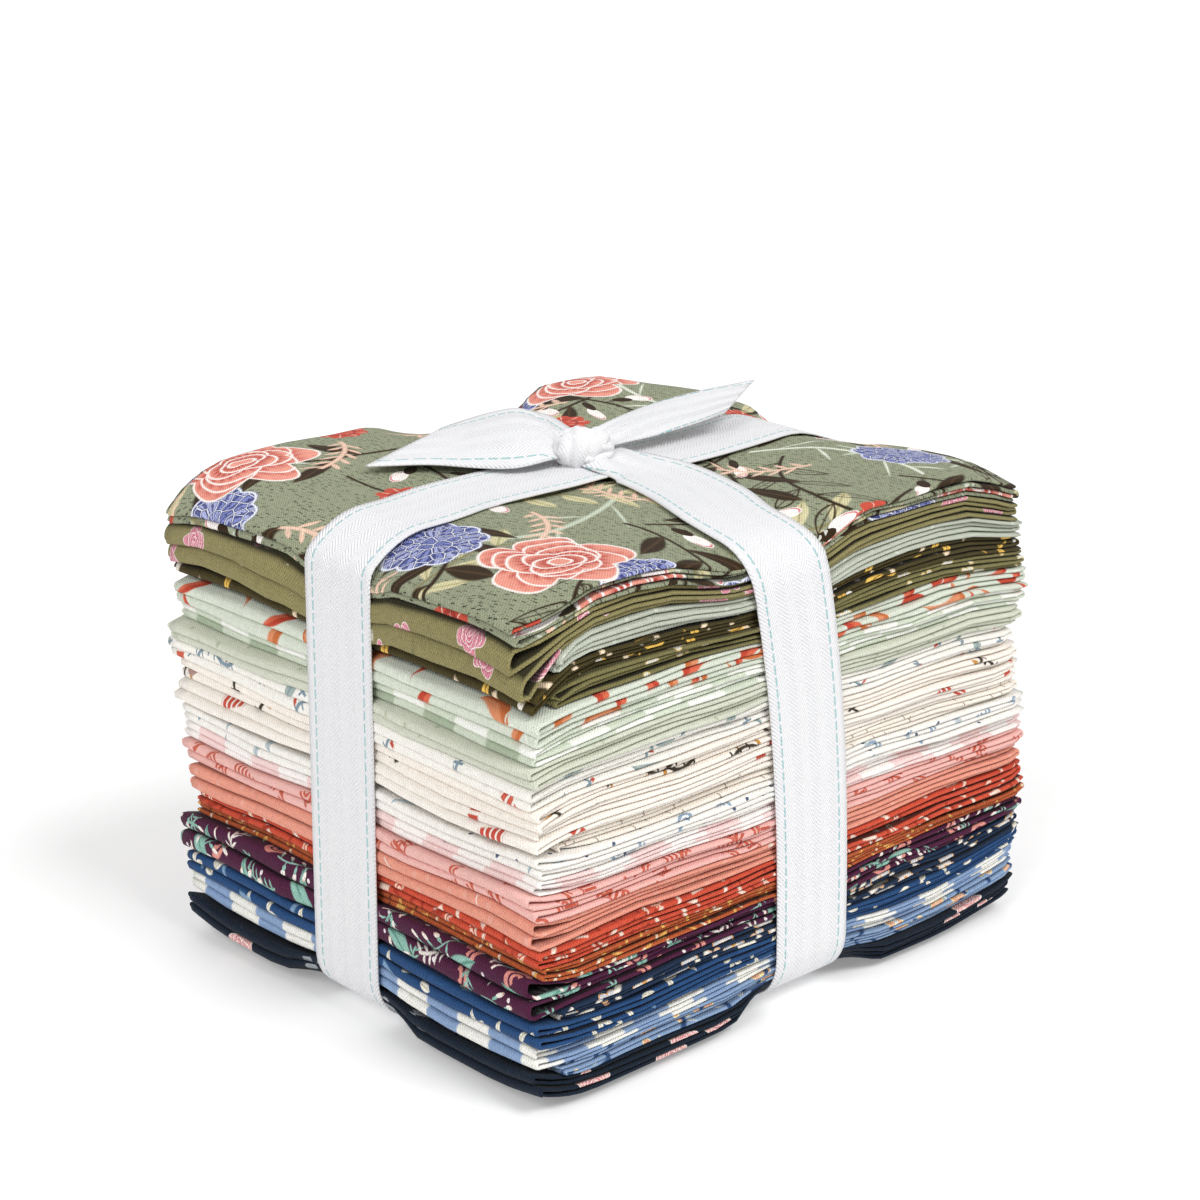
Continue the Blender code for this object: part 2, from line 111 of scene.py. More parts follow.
# How far a band lies off the line round the stack: at the sides and on top, and underneath, where
# the long band passes below the short one
CLEARANCE = 0.25
LONG_CLEARANCE_UNDER = 0.62
SHORT_CLEARANCE_UNDER = 0.22
BAND_SPACING = 1.6
TURN_STEP = 0.12
# How far the line itself lies off the cloth
OFF_ENDS = 0.1
OFF_SIDES = 0.5
OFF_TOP = 0.35
OFF_BOTTOM = 0.2
# How late the short band leaves its place on top on its way down the sides
SHORT_BAND_TURN = 2.7
# How far inside a band the cloth stays, how deep it is squeezed and how soon beside it it's free
UNDER_BAND = 0.18
PRESS_DEPTH = 6.0
PRESS_SHARPNESS = 5.0
PRESS_START = 0.8
PRESS_FADE = 13.0

# Cloth: a fat quarter is 18 x 22 inches, folded in four one way and then in four the other way
FLAT_WIDTH = 457.0
CLOTH_THICKNESS = 0.15
BUNDLE_THICKNESS = 1.10
CUT_GAP = 0.12

# Height at the left end and in the middle, setback of the left and of the front face, reach of the
# far face
Cut = namedtuple("Cut", "name left middle recess_left recess_front reach_far")
CUTS = (
    Cut("sage_floral", 3.5, 4.4, 0.0, 0.0, 1.7),
    Cut("khaki_rose", 8.8, 4.6, -0.6, 0.2, 1.8),
    Cut("grey_back", 0.7, 4.6, 6.0, 0.2, -0.6),
    Cut("dark_olive", 4.2, 3.8, 1.2, 0.5, 2.2),
    Cut("olive_sprig", 0.8, 4.0, 6.0, 0.0, 0.2),
    Cut("mint_leaf", 5.6, 5.2, 0.4, -0.4, 1.0),
    Cut("mint_gingham", 3.4, 4.2, 1.2, 0.1, 0.6),
    Cut("light_sage", 3.8, 4.3, -0.9, -0.5, 1.4),
    Cut("white_floral", 5.2, 4.8, 0.1, 0.5, 3.1),
    Cut("cream_branch", 4.6, 4.2, 0.9, 0.0, 0.9),
    Cut("cream_stamp", 4.0, 4.2, 0.2, -0.3, 1.2),
    Cut("cream_fine", 1.2, 4.0, 6.6, 0.6, 0.4),
    Cut("white_dot", 4.1, 4.6, 0.6, -0.7, 1.0),
    Cut("pink_gingham", 3.4, 4.0, 1.3, 0.3, 1.3),
    Cut("pink_loop", 4.6, 4.6, 0.2, 0.0, 0.0),
    Cut("coral", 6.0, 4.6, 0.3, 0.4, -2.6),
    Cut("tomato", 3.4, 5.0, 1.6, -0.4, -2.2),
    Cut("rust", 2.6, 3.6, 2.2, 0.2, -1.0),
    Cut("plum", 8.2, 5.0, -0.2, 0.5, 0.4),
    Cut("navy_floral", 0.9, 3.8, 7.0, 0.0, 0.0),
    Cut("blue_leaf", 5.6, 4.6, 0.2, -0.5, 0.4),
    Cut("blue_gingham", 5.3, 4.4, 1.0, 0.3, 1.0),
    Cut("sky_floral", 0.8, 4.0, 6.6, 0.0, 0.2),
    Cut("midnight", 5.2, 5.0, 0.1, -0.6, 0.2),
)
PLIES = 4
# A step between two cuts that is seen as a ledge
LEDGE = 1.2
# How far the cuts reach beyond the footprint at the +X end, at some heights
REACH_HEIGHTS = (0.0, 10.0, 20.0, 40.0, 48.0, 56.0, 64.0, 70.0, 78.0, 88.0, 94.0, 100.0)
RIGHT_REACH = (4.4, 5.6, 7.4, 6.2, 5.6, 2.8, 2.4, 4.2, 4.8, 2.8, 1.6, 0.8)
# How far the front edges of the upper plies turn in at the front corner, from the top ply down
CORNER_TURN = (5.5, 5.5, 5.0, 4.0, 5.5, 5.0, 2.0, 1.0)
CORNER_TURN_SHARE = 0.07
LOOSE_CORNER_TURN = 2.2
# How far the front edge turns in at the right corner, and from which share of the length
RIGHT_CORNER_TURN = 1.5
RIGHT_CORNER_START = 0.955


def mix(a, b, share):
    return a + (b - a) * share


def soft_ramp(value, start, end, ease=BEND_EASE):
    """A straight ramp that is 0 before start and 1 at end, with its bend eased."""
    along = (value - start) if end > start else (start - value)
    bent = np.where(along > ease, along, (np.maximum(along, -ease) + ease) ** 2 / (4 * ease))
    return bent / abs(end - start)


def smooth_step(value, start, end):
    share = np.clip((value - start) / (end - start), 0.0, 1.0)
    return share * share * (3 - 2 * share)


def unit(vectors):
    return vectors / np.linalg.norm(vectors, axis=1)[:, None]


def lengths_along(grid, axis):
    """Mean distance from the start, along one side of a grid of points."""
    steps = np.linalg.norm(np.diff(grid, axis=axis), axis=2)
    return np.concatenate(([0.0], np.cumsum(steps.mean(axis=1 - axis))))


def curve_through(points, count):
    """A smooth curve through some points."""
    points = np.array(points)
    before, after = 2 * points[:1] - points[1:2], 2 * points[-1:] - points[-2:-1]
    padded = np.concatenate((before, points, after))
    places = []
    for share in np.linspace(0.0, len(points) - 1.0, count):
        first = min(int(share), len(points) - 2)
        t = share - first
        a, b, c, d = padded[first : first + 4]
        square, cube = 2 * a - 5 * b + 4 * c - d, 3 * b - a - 3 * c + d
        places.append((2 * b + (c - a) * t + square * t**2 + cube * t**3) / 2)
    return np.array(places)


LONG_BAND_LINE = curve_through(LONG_BAND_ON_TOP, 120).T
SHORT_BAND_LINE = curve_through(SHORT_BAND_ON_TOP, 120).T


def long_band_top_y(x):
    return np.interp(x, *LONG_BAND_LINE)


def short_band_top_x(y):
    return np.interp(y, *SHORT_BAND_LINE)


def stack_up(thicknesses, bottom, top):
    """Heights of the faces between cuts, from the underside up, fitted between two heights."""
    faces = np.concatenate(([0.0], np.cumsum(list(reversed(thicknesses)))))
    return bottom + faces * (top - bottom) / faces[-1]


LEFT_HEIGHTS = stack_up([cut.left for cut in CUTS], LEFT_BOTTOM, LEFT_TOP)
MIDDLE_HEIGHTS = stack_up([cut.middle for cut in CUTS], 0.0, MIDDLE_TOP)
RIGHT_HEIGHTS = stack_up([cut.middle for cut in CUTS], RIGHT_BOTTOM, RIGHT_TOP)
TOP_LEVEL = len(CUTS)


def deeper(a, b):
    """The deeper of two depths, eased where they are alike."""
    return (a**4 + b**4) ** 0.25


def rim_ramp(y):
    """0 in the middle, 1 at the front and at the back."""
    return soft_ramp(np.abs(y), DEPTH_BEND, HALF_DEPTH)


def end_ramps(x):
    """The same at the left and at the right."""
    return soft_ramp(x, LEFT_BEND, -HALF_LENGTH), soft_ramp(x, RIGHT_BEND, HALF_LENGTH)


def beside(across, fade):
    """1 under a band, fading out beside it."""
    return 1 - smooth_step(np.abs(across), GROOVE_HALF_WIDTH, fade)


def top_relief(x, y):
    """How far the top stands off its plain height."""
    off_short, off_long = x - short_band_top_x(y), y - long_band_top_y(x)
    rim = rim_ramp(y)
    left, right = end_ramps(x)
    back = smooth_step(y, 0.0, BACK_START)
    fade_left = mix(TOP_FADE_LEFT, TOP_FADE_BACK_LEFT, back)
    fade_right = mix(TOP_FADE_RIGHT, TOP_FADE_BACK_RIGHT, back)
    short_band = beside(off_short, np.where(off_short < 0, fade_left, fade_right))
    dip = soft_ramp(np.abs(y), DIP_BEND, HALF_DEPTH, DIP_EASE)
    short_depth = short_band * mix(TOP_GROOVE, TOP_EDGE_DIP, dip)
    near_band = beside(off_long, np.where(x < 0, LEFT_DIP_FADE, RIGHT_DIP_FADE))
    end_dip = LEFT_END_DIP * left + RIGHT_END_DIP * right
    long_depth = beside(off_long, DEPTH_BEND) * TOP_GROOVE + near_band * end_dip
    corner = soft_ramp(np.abs(x), TOP_CORNER_BEND, HALF_LENGTH) * rim
    droop = TOP_EDGE_DROOP * rim + TOP_CORNER_DROOP * corner
    return TOP_PUFF - deeper(short_depth, long_depth) - droop


def bottom_relief(x, y):
    """The same for the underside, which is flat on the surface between the bands."""
    rim = rim_ramp(y)
    end = soft_ramp(np.abs(x), BOTTOM_END_BEND, HALF_LENGTH)
    edge_dip = BOTTOM_EDGE_DIP - BOTTOM_EDGE_LIFT
    short_band = beside(x - SHORT_BAND_UNDER_X, BOTTOM_FADE)
    long_band = beside(y - LONG_BAND_UNDER_Y, BOTTOM_FADE)
    short_depth = short_band * mix(BOTTOM_GROOVE, edge_dip, rim)
    long_depth = long_band * mix(BOTTOM_GROOVE, edge_dip, end)
    return BOTTOM_EDGE_LIFT * rim + deeper(short_depth, long_depth)


def face_height(level, x, y):
    """Height of the face that has this many cuts below it."""
    left, right = end_ramps(x)
    middle = MIDDLE_HEIGHTS[level]
    height = middle + left * (LEFT_HEIGHTS[level] - middle)
    height = height + right * (RIGHT_HEIGHTS[level] - middle)
    top_share = max(0.0, 1.0 - (TOP_LEVEL - level) / PUFFED_TOP_CUTS)
    bottom_share = max(0.0, 1.0 - level / PUFFED_BOTTOM_CUTS)
    return height + top_share * top_relief(x, y) + bottom_share * bottom_relief(x, y)


# Ribbon paths
def hull(points):
    """Corners of the convex outline of some points, anticlockwise."""
    ordered = sorted(set(map(tuple, np.round(points, 4))))

    def half(places):
        chain = []
        for place in places:
            while len(chain) > 1:
                (ax, ay), (bx, by) = chain[-2], chain[-1]
                if (bx - ax) * (place[1] - ay) - (by - ay) * (place[0] - ax) > 0:
                    break
                chain.pop()
            chain.append(place)
        return chain[:-1]

    return np.array(half(ordered) + half(ordered[::-1]))


def taut_loop(points, clearance_under):
    """The closed line of a taut band round some points, with its outward directions."""
    corners = hull(points)
    edges = np.roll(corners, -1, axis=0) - corners
    outward = unit(np.stack((edges[:, 1], -edges[:, 0]), axis=1))
    turns = np.unwrap(np.arctan2(outward[:, 1], outward[:, 0]))
    places = []
    for number, corner in enumerate(corners):
        start = turns[number - 1] - (2 * math.pi if number == 0 else 0)
        count = max(2, int((turns[number] - start) / TURN_STEP) + 1)
        for turn in np.linspace(start, turns[number], count):
            way = np.array((math.cos(turn), math.sin(turn)))
            clearance = mix(CLEARANCE, clearance_under, max(0.0, -way[1]))
            places.append(np.concatenate((corner + clearance * way, way)))
    places = np.array(places + [places[0]])
    reached = lengths_along(places[:, None, :2], 0)
    spots = np.linspace(0.0, reached[-1], int(reached[-1] / BAND_SPACING) + 1)
    return np.stack([np.interp(spots, reached, places[:, k]) for k in range(4)], axis=1)


def rounded(points, radius):
    """The points' outline pushed out all round by a radius."""
    turns = np.linspace(0.0, 2 * math.pi, 32, endpoint=False)
    ring = radius * np.stack((np.cos(turns), np.sin(turns)), axis=1)
    return (points[:, None, :] + ring[None, :, :]).reshape(-1, 2)


def band_outline(top, bottom, half, top_radius):
    """Points round which a band is drawn tight: heights of the top and of the underside."""
    along = np.linspace(top_radius - half, half - top_radius, 60)
    upper = np.stack((along, top(along) + OFF_TOP - top_radius), axis=1)
    along = np.linspace(UNDER_RADIUS - half, half - UNDER_RADIUS, 60)
    lower = np.stack((along, bottom(along) - OFF_BOTTOM + UNDER_RADIUS), axis=1)
    return np.concatenate((rounded(upper, top_radius), rounded(lower, UNDER_RADIUS)))


LONG_BAND_OUTLINE = band_outline(
    lambda x: face_height(TOP_LEVEL, x, long_band_top_y(x)),
    lambda x: face_height(0, x, LONG_BAND_UNDER_Y),
    HALF_LENGTH + OFF_ENDS,
    LONG_TOP_RADIUS,
)
SHORT_BAND_OUTLINE = band_outline(
    lambda y: face_height(TOP_LEVEL, short_band_top_x(y), y),
    lambda y: face_height(0, SHORT_BAND_UNDER_X, y),
    HALF_DEPTH + OFF_SIDES,
    SHORT_TOP_RADIUS,
)

# A band: its closed line, the axis along which it runs (0 for X, 1 for Y) and its place in space
Band = namedtuple("Band", "loop axis place")


def place_long(x, z):
    y = mix(LONG_BAND_UNDER_Y, long_band_top_y(x), np.clip(z / LEFT_TOP, 0.0, 1.0))
    return np.stack((x, y, z), axis=-1)


def place_short(y, z):
    share = np.clip(z / MIDDLE_TOP, 0.0, 1.0) ** SHORT_BAND_TURN
    x = mix(SHORT_BAND_UNDER_X, short_band_top_x(y), share)
    return np.stack((x, y, z), axis=-1)


LONG_BAND = Band(taut_loop(LONG_BAND_OUTLINE, LONG_CLEARANCE_UNDER), 0, place_long)
SHORT_BAND = Band(taut_loop(SHORT_BAND_OUTLINE, SHORT_CLEARANCE_UNDER), 1, place_short)


def pressed_by(band, points):
    """The points with those under a band pressed inside it, and eased out beside it."""
    plane = points[:, [band.axis, 2]]
    reach = plane @ band.loop[:, 2:].T - (band.loop[:, :2] * band.loop[:, 2:]).sum(axis=1)
    nearest = reach.argmax(axis=1)
    outside = reach[np.arange(len(points)), nearest] + UNDER_BAND
    middle = band.place(plane[:, 0], plane[:, 1])
    across = np.abs(points - middle)[:, 1 - band.axis] - RIBBON_WIDTH / 2
    weight = 1.0 - smooth_step(across, PRESS_START, PRESS_FADE)
    depth = outside + PRESS_DEPTH
    knee = PRESS_DEPTH / 2
    over = np.maximum(depth - knee, 0.0) / (PRESS_DEPTH - knee)
    over = over / (1.0 + over**PRESS_SHARPNESS) ** (1.0 / PRESS_SHARPNESS)
    held = knee + (PRESS_DEPTH - knee) * over
    push = weight * np.where(depth > knee, depth - held, 0.0)
    way = np.zeros_like(points)
    way[:, [band.axis, 2]] = band.loop[nearest, 2:]
    return points - push[:, None] * way


# Slow waves that the layers share, so that no line of the stack is ruled straight: the length of
# each along X, Y and Z, its start and its height
WAVES = (
    (83.0, 61.0, 57.0, 0.4, 0.30),
    (-47.0, 53.0, 33.0, 2.1, 0.22),
    (31.0, -37.0, 23.0, 4.4, 0.12),
    (-19.0, 23.0, 29.0, 1.2, 0.05),
    (37.0, 71.0, 13.0, 3.3, 0.09),
    (-61.0, 29.0, -9.0, 0.7, 0.05),
)
CALM_HEIGHT = 14.0


def waves(x, y, z):
    total = 0.0
    for along_x, along_y, along_z, start, height in WAVES:
        turn = x / along_x + y / along_y + z / along_z
        total = total + height * np.sin(2 * math.pi * turn + start)
    return total * smooth_step(z, 0.0, CALM_HEIGHT)


def chance(*keys):
    """A fixed number from 0 to 1 for some whole numbers."""
    mixed = math.sin(sum((key + 1) * step for key, step in zip(keys, (12.9898, 78.233, 37.719))))
    return (mixed * 43758.5453) % 1.0


# The plies of a cut: the least height of a cut, a ply's share of it inside and near the edges, and
# how much thinner the plies are at the folded end
LEAST_CUT = 0.6
PLY_SHARE = 0.235
EDGE_PLY_SHARE = 0.232
EDGE_WIDTH = 9.0
EDGE_FULLNESS = 0.5
FOLDED_THINNING = 0.10
FOLDED_START = LEFT_BEND + 8.0
FOLDED_END = 2.0 - HALF_LENGTH
# How the gaps between the plies share the height that the plies leave
TOP_SLACK = 0.02
LOOSE_SLACK = 0.9
LEAST_LOOSE = 0.12
FOLDED_GAPS = (0.46, 0.04, 0.46)


def ply_places(index, x, y):
    """Heights of the middles of a cut's four plies, from the top one down, and their thickness."""
    lower = face_height(TOP_LEVEL - 1 - index, x, y) + CUT_GAP / 2
    upper = face_height(TOP_LEVEL - index, x, y) - CUT_GAP / 2
    whole = np.maximum(upper - lower, LEAST_CUT)
    edge = smooth_step(np.abs(y), HALF_DEPTH - EDGE_WIDTH, HALF_DEPTH)
    folded = smooth_step(x, FOLDED_START, FOLDED_END)
    thin = np.minimum(PLY_SHARE * whole, BUNDLE_THICKNESS) * (1.0 - FOLDED_THINNING * folded)
    bundle = mix(thin, EDGE_PLY_SHARE * whole, EDGE_FULLNESS * edge * (1.0 - folded))
    slack = whole - PLIES * bundle
    uneven = [LEAST_LOOSE + chance(index, gap, 3) ** 2 for gap in range(PLIES - 1)]
    middles = [upper - TOP_SLACK * slack - bundle / 2]
    for gap, at_folds in enumerate(FOLDED_GAPS):
        share = mix(LOOSE_SLACK * uneven[gap] / sum(uneven), at_folds, folded)
        middles.append(middles[-1] - bundle - share * slack)
    return middles, bundle


# The path of one ply's four layers across the stack, seen from +X. The outer layers turn outside
# the inner ones
NEAR, FAR = 0.0, 1.0
LAYER = 0.25
OUTER_LIFT = 1.5 * LAYER
INNER_LIFT = 0.5 * LAYER
INNER_INSET = 0.45
# How far the loops reach: the two at the near edge and the one at the far edge
OUTER_LOOP_REACH = -0.7
INNER_LOOP_REACH = -0.22
FAR_LOOP_REACH = 0.28
LOOP_BLUNTNESS = 0.6
LOOP_STEPS = 6

# Where the cloth bends most, as shares of its depth and of its length, each with its reach
ACROSS_BUSY = ((0.0, 0.06), (1.0, 0.06), (0.43, 0.06), (0.63, 0.06))
ALONG_BUSY = ((0.0, 0.06), (1.0, 0.05))
CROWDING = 2.2
# How far off the short band's middle the cloth beside it bends most, as a share of the length
BAND_BEND_SHARE = 0.10

# Points across the first run and the other runs of the top cut, the bottom cut and the rest, and
# along the plies that show whole and the others
TOP_STEPS = (32, 32)
BOTTOM_STEPS = (28, 14)
CUT_STEPS = (16, 16)
FINE_STATIONS = 42
COARSE_STATIONS = 24
FOLD_STEPS = 8


def stations(busy, count):
    """Shares from 0 to 1, closer together near the busy ones, given with their reach."""
    line = np.linspace(0.0, 1.0, 401)
    bumps = (np.exp(-(((line - place) / reach) ** 2)) for place, reach in busy)
    crowd = 1.0 + sum(CROWDING * bump for bump in bumps)
    filled = np.concatenate(([0.0], np.cumsum((crowd[1:] + crowd[:-1]) / 2)))
    return np.interp(np.linspace(0.0, filled[-1], count), filled, line)


def across_rows(first_steps, steps):
    """Rows along the cloth's width: share of the depth, lift, reach beyond the edge, inset and
    angle round a loop, or -1."""
    rows = []

    def run(start, end, lift, inset, count=steps):
        places = stations(ACROSS_BUSY, count)
        for share in places if end > start else places[::-1]:
            rows.append((share, lift, 0.0, inset, -1.0))

    def loop(side, middle, radius, reach, inset):
        for step in range(1, LOOP_STEPS):
            angle = math.pi * step / LOOP_STEPS
            out = reach * math.sin(angle) ** LOOP_BLUNTNESS
            rows.append((side, middle + radius * math.cos(angle), out, inset, angle))

    run(FAR, NEAR, OUTER_LIFT, 0.0, first_steps)
    loop(NEAR, 0.0, OUTER_LIFT, OUTER_LOOP_REACH, 0.0)
    run(NEAR, FAR, -OUTER_LIFT, 0.0)
    loop(FAR, -LAYER, -INNER_LIFT, FAR_LOOP_REACH, 0.0)
    run(FAR, NEAR, -INNER_LIFT, INNER_INSET)
    loop(NEAR, 0.0, -INNER_LIFT, INNER_LOOP_REACH, INNER_INSET)
    run(NEAR, FAR, INNER_LIFT, INNER_INSET)
    return np.array(rows).T


# How uneven the edges run: the length in which each wave passes one radian, its start as a
# multiple of the cut's own start, and its height
NEAR_WANDER = ((31.0, 1.0, 0.60), (11.0, 2.0, 0.30), (5.3, 3.0, 0.10))
FAR_WANDER = ((37.0, 2.1, 0.5), (13.0, 1.0, 0.2))
ONE_TURN = 6.28
# How far the near folds lie inside the footprint, and the raw edge behind the far folds
NEAR_SETBACK = 0.62
RAW_SETBACK = 0.5
RAW_UNEVEN = 0.7
# The folds at the left end, drawn in a little by the ribbon
LEFT_SETBACK = 0.35
LEFT_SKEW = 0.45
LEFT_WAVE = 0.3
LEFT_UNEVEN = 0.7
LEFT_PRESS = 0.5
LEFT_PRESS_Y = 3.0
LEFT_PRESS_WIDTH = 11.0
# The folds and the free ends at the right
RIGHT_UNEVEN = 0.55
RIGHT_SETBACK = 0.95
RIGHT_WAVE = 0.3
FREE_SETBACK = 0.3
FREE_UNEVEN = 0.8
FREE_WAVE = 0.5
FREE_SHEAR = 1.2
# How far the folds between plies reach
FOLD_REACH = 0.32
FOLD_REACH_BY_GAP = 0.30
FOLD_BLUNTNESS = 0.75
NO_LEDGE = 99.0


def wander(rows, along, start):
    return sum(height * math.sin(along / length + own * start) for length, own, height in rows)


def groove_shade_round(angle):
    """How deep in the groove beside a fold a point lies, by its angle round the fold, as the
    painted shade it gets there.
    """
    return (1.0 - np.sin(angle)) ** 3


def cloth_sheet(index):
    """One fat quarter: a sheet folded in four across and then back and forth along the stack."""
    cut = CUTS[index]
    is_top = index == 0
    is_bottom = index == TOP_LEVEL - 1
    steps = TOP_STEPS if is_top else BOTTOM_STEPS if is_bottom else CUT_STEPS
    share, lift, reach, inset, bend = across_rows(*steps)
    band_x = place_short(np.array(-HALF_DEPTH), MIDDLE_HEIGHTS[TOP_LEVEL - 1 - index])[0]
    band_share = (band_x + HALF_LENGTH) / (2 * HALF_LENGTH)
    before, after = band_share - BAND_BEND_SHARE, band_share + BAND_BEND_SHARE
    busy = ALONG_BUSY + ((before, 0.06), (after, 0.07))
    coarse = stations(busy, COARSE_STATIONS)
    fine = stations(busy, FINE_STATIONS)
    raw = np.zeros_like(share)
    raw[[0, -1]] = RAW_SETBACK + RAW_UNEVEN * chance(index, 7, 2)
    # Painted shade in the grooves between the plies: full along the runs, fading to none at each
    # loop's crown
    groove_shade_across = np.where(bend >= 0, groove_shade_round(bend), 1.0)
    start = ONE_TURN * chance(index, 0, 1)
    near_0 = -HALF_DEPTH + cut.recess_front + NEAR_SETBACK
    far_0 = HALF_DEPTH + cut.reach_far
    beyond = np.interp(RIGHT_HEIGHTS[TOP_LEVEL - 1 - index], REACH_HEIGHTS, RIGHT_REACH)
    right_0 = beyond + HALF_LENGTH - RIGHT_UNEVEN * (1.0 + math.sin(1.7 * index + 1.0))
    above = CUTS[index - 1]
    ledge_front = NO_LEDGE if is_top else above.recess_front - cut.recess_front
    if is_top:
        free_until = HALF_LENGTH
    elif above.recess_left - cut.recess_left > LEDGE:
        free_until = above.recess_left + LEDGE - HALF_LENGTH
    else:
        free_until = -NO_LEDGE - HALF_LENGTH
    grid = []
    groove_shades = []
    along = 0.0

    def depth(along, ply, place):
        """Where the cloth's path lies in Y, a little uneven along its length."""
        level = index * PLIES + ply
        if level < len(CORNER_TURN):
            turn = CORNER_TURN[level]
        else:
            turn = LOOSE_CORNER_TURN * chance(index, ply, 9) ** 2
        at_right = (place - RIGHT_CORNER_START) / (1.0 - RIGHT_CORNER_START)
        near = near_0 + wander(NEAR_WANDER, along, start)
        near += turn * max(0.0, 1.0 - place / CORNER_TURN_SHARE) ** 2
        near += RIGHT_CORNER_TURN * max(0.0, at_right) ** 2
        far = far_0 + wander(FAR_WANDER, along, start)
        return near + inset + (far - near - inset) * share + reach - raw

    def left_edge(fold, y):
        pressed = LEFT_PRESS * np.exp(-(((y - LEFT_PRESS_Y) / LEFT_PRESS_WIDTH) ** 2))
        skew = LEFT_SKEW * math.sin(2.4 * index) * y / HALF_DEPTH
        wave = LEFT_WAVE * np.sin(y / 17.0 + ONE_TURN * chance(index, fold, 5))
        uneven = LEFT_UNEVEN * (chance(index, fold, 8) - 0.5)
        return cut.recess_left + LEFT_SETBACK - HALF_LENGTH + skew + wave + pressed + uneven

    def right_edge(y):
        return right_0 - RIGHT_SETBACK + RIGHT_WAVE * np.sin(y / 15.0 + index)

    def free_end(number, y):
        setback = FREE_SETBACK + FREE_UNEVEN * chance(index, number, 4)
        return right_0 - setback + FREE_WAVE * np.sin(y / 21.0 + index) + FREE_SHEAR * lift

    def add_row(x, y, z, groove_shade, uppermost):
        """A row of the sheet, with the painted groove shade of each point. A ledge that the cut
        above leaves free gets no painted shade.
        """
        grid.append(np.stack((x, y, z + waves(x, y, z)), axis=1))
        groove_shade = np.minimum(groove_shade_across, groove_shade)
        if uppermost:
            free = np.where(x < free_until, 1.0, smooth_step(ledge_front, 0.0, LEDGE))
            groove_shade = np.where(lift > 0, groove_shade * (1.0 - free), groove_shade)
        groove_shades.append(groove_shade)

    for ply in range(PLIES):
        goes_left = ply % 2 == 0
        sign = 1.0 if goes_left else -1.0
        whole = is_top and ply == 0 or is_bottom and ply == PLIES - 1
        places = fine if whole else coarse
        for place in places[::-1] if goes_left else places:
            t = 1.0 - place if goes_left else place
            y = depth(along + t * 2 * HALF_LENGTH, ply, place)
            right = free_end(ply, y) if ply in (0, PLIES - 1) else right_edge(y)
            x = mix(left_edge(ply // 2, y), right, place)
            middles, bundle = ply_places(index, x, y)
            add_row(x, y, middles[ply] + sign * lift * bundle, 1.0, ply == 0)
        along += 2 * HALF_LENGTH
        if ply == PLIES - 1:
            break
        for step in range(1, FOLD_STEPS):
            angle = math.pi * step / FOLD_STEPS
            y = depth(along + step / FOLD_STEPS, ply, 0.0 if goes_left else 1.0)
            edge = left_edge(ply // 2, y) if goes_left else right_edge(y)
            middles, bundle = ply_places(index, edge, y)
            base = FOLD_REACH_BY_GAP * (middles[ply] - middles[ply + 1]) + FOLD_REACH
            x = edge - sign * (base + sign * lift * bundle) * math.sin(angle) ** FOLD_BLUNTNESS
            middles, bundle = ply_places(index, x, y)
            top = middles[ply] + sign * lift * bundle
            bottom = middles[ply + 1] - sign * lift * bundle
            z = (top + bottom) / 2 + (top - bottom) / 2 * math.cos(angle)
            # Painted shade in the fold's groove, none at its crown
            add_row(x, y, z, groove_shade_round(angle), ply == 0 and step < FOLD_STEPS / 2)
        along += 1.0
    return np.array(grid), np.array(groove_shades)


def grid_faces(rows, columns):
    first = np.arange((rows - 1) * columns).reshape(rows - 1, columns)[:, :-1].ravel()
    return np.stack((first, first + columns, first + columns + 1, first + 1), axis=1)


def add_object(name, data):
    obj = bpy.data.objects.new(name, data)
    bpy.context.scene.collection.objects.link(obj)
    return obj


def mesh_from(name, points, faces, cloth):
    """A smooth mesh in metres, with every point's place on the flat cloth in millimetres."""
    mesh = bpy.data.meshes.new(name)
    mesh.from_pydata((points * MM).tolist(), [], faces.tolist())
    flat = np.zeros((len(points), 3), np.float32)
    flat[:, :2] = cloth
    mesh.attributes.new("cloth", "FLOAT_VECTOR", "POINT").data.foreach_set("vector", flat.ravel())
    mesh.shade_smooth()
    return add_object(name, mesh)


def thicken(obj, thickness, back_slot):
    solidify = obj.modifiers.new("thickness", "SOLIDIFY")
    solidify.thickness = thickness * MM
    solidify.offset = 0.0
    solidify.material_offset = back_slot
    solidify.material_offset_rim = back_slot


# Shader formulas
def plug(value, slot):
    """Links a slot to what nodes work out, or sets it to a plain number or colour."""
    if isinstance(value, Value):
        value = value.socket
    if isinstance(value, bpy.types.NodeSocket):
        slot.id_data.links.new(value, slot)
    else:
        slot.default_value = value


def plug_all(node, inputs):
    for slot, value in dict(inputs).items():
        plug(value, node.inputs[slot])


def outputs_of(tree, kind, inputs=(), **settings):
    """What a new node gives, from its inputs by number or name and its settings."""
    node = tree.nodes.new(kind)
    for name, value in settings.items():
        setattr(node, name, value)
    plug_all(node, inputs)
    return node.outputs


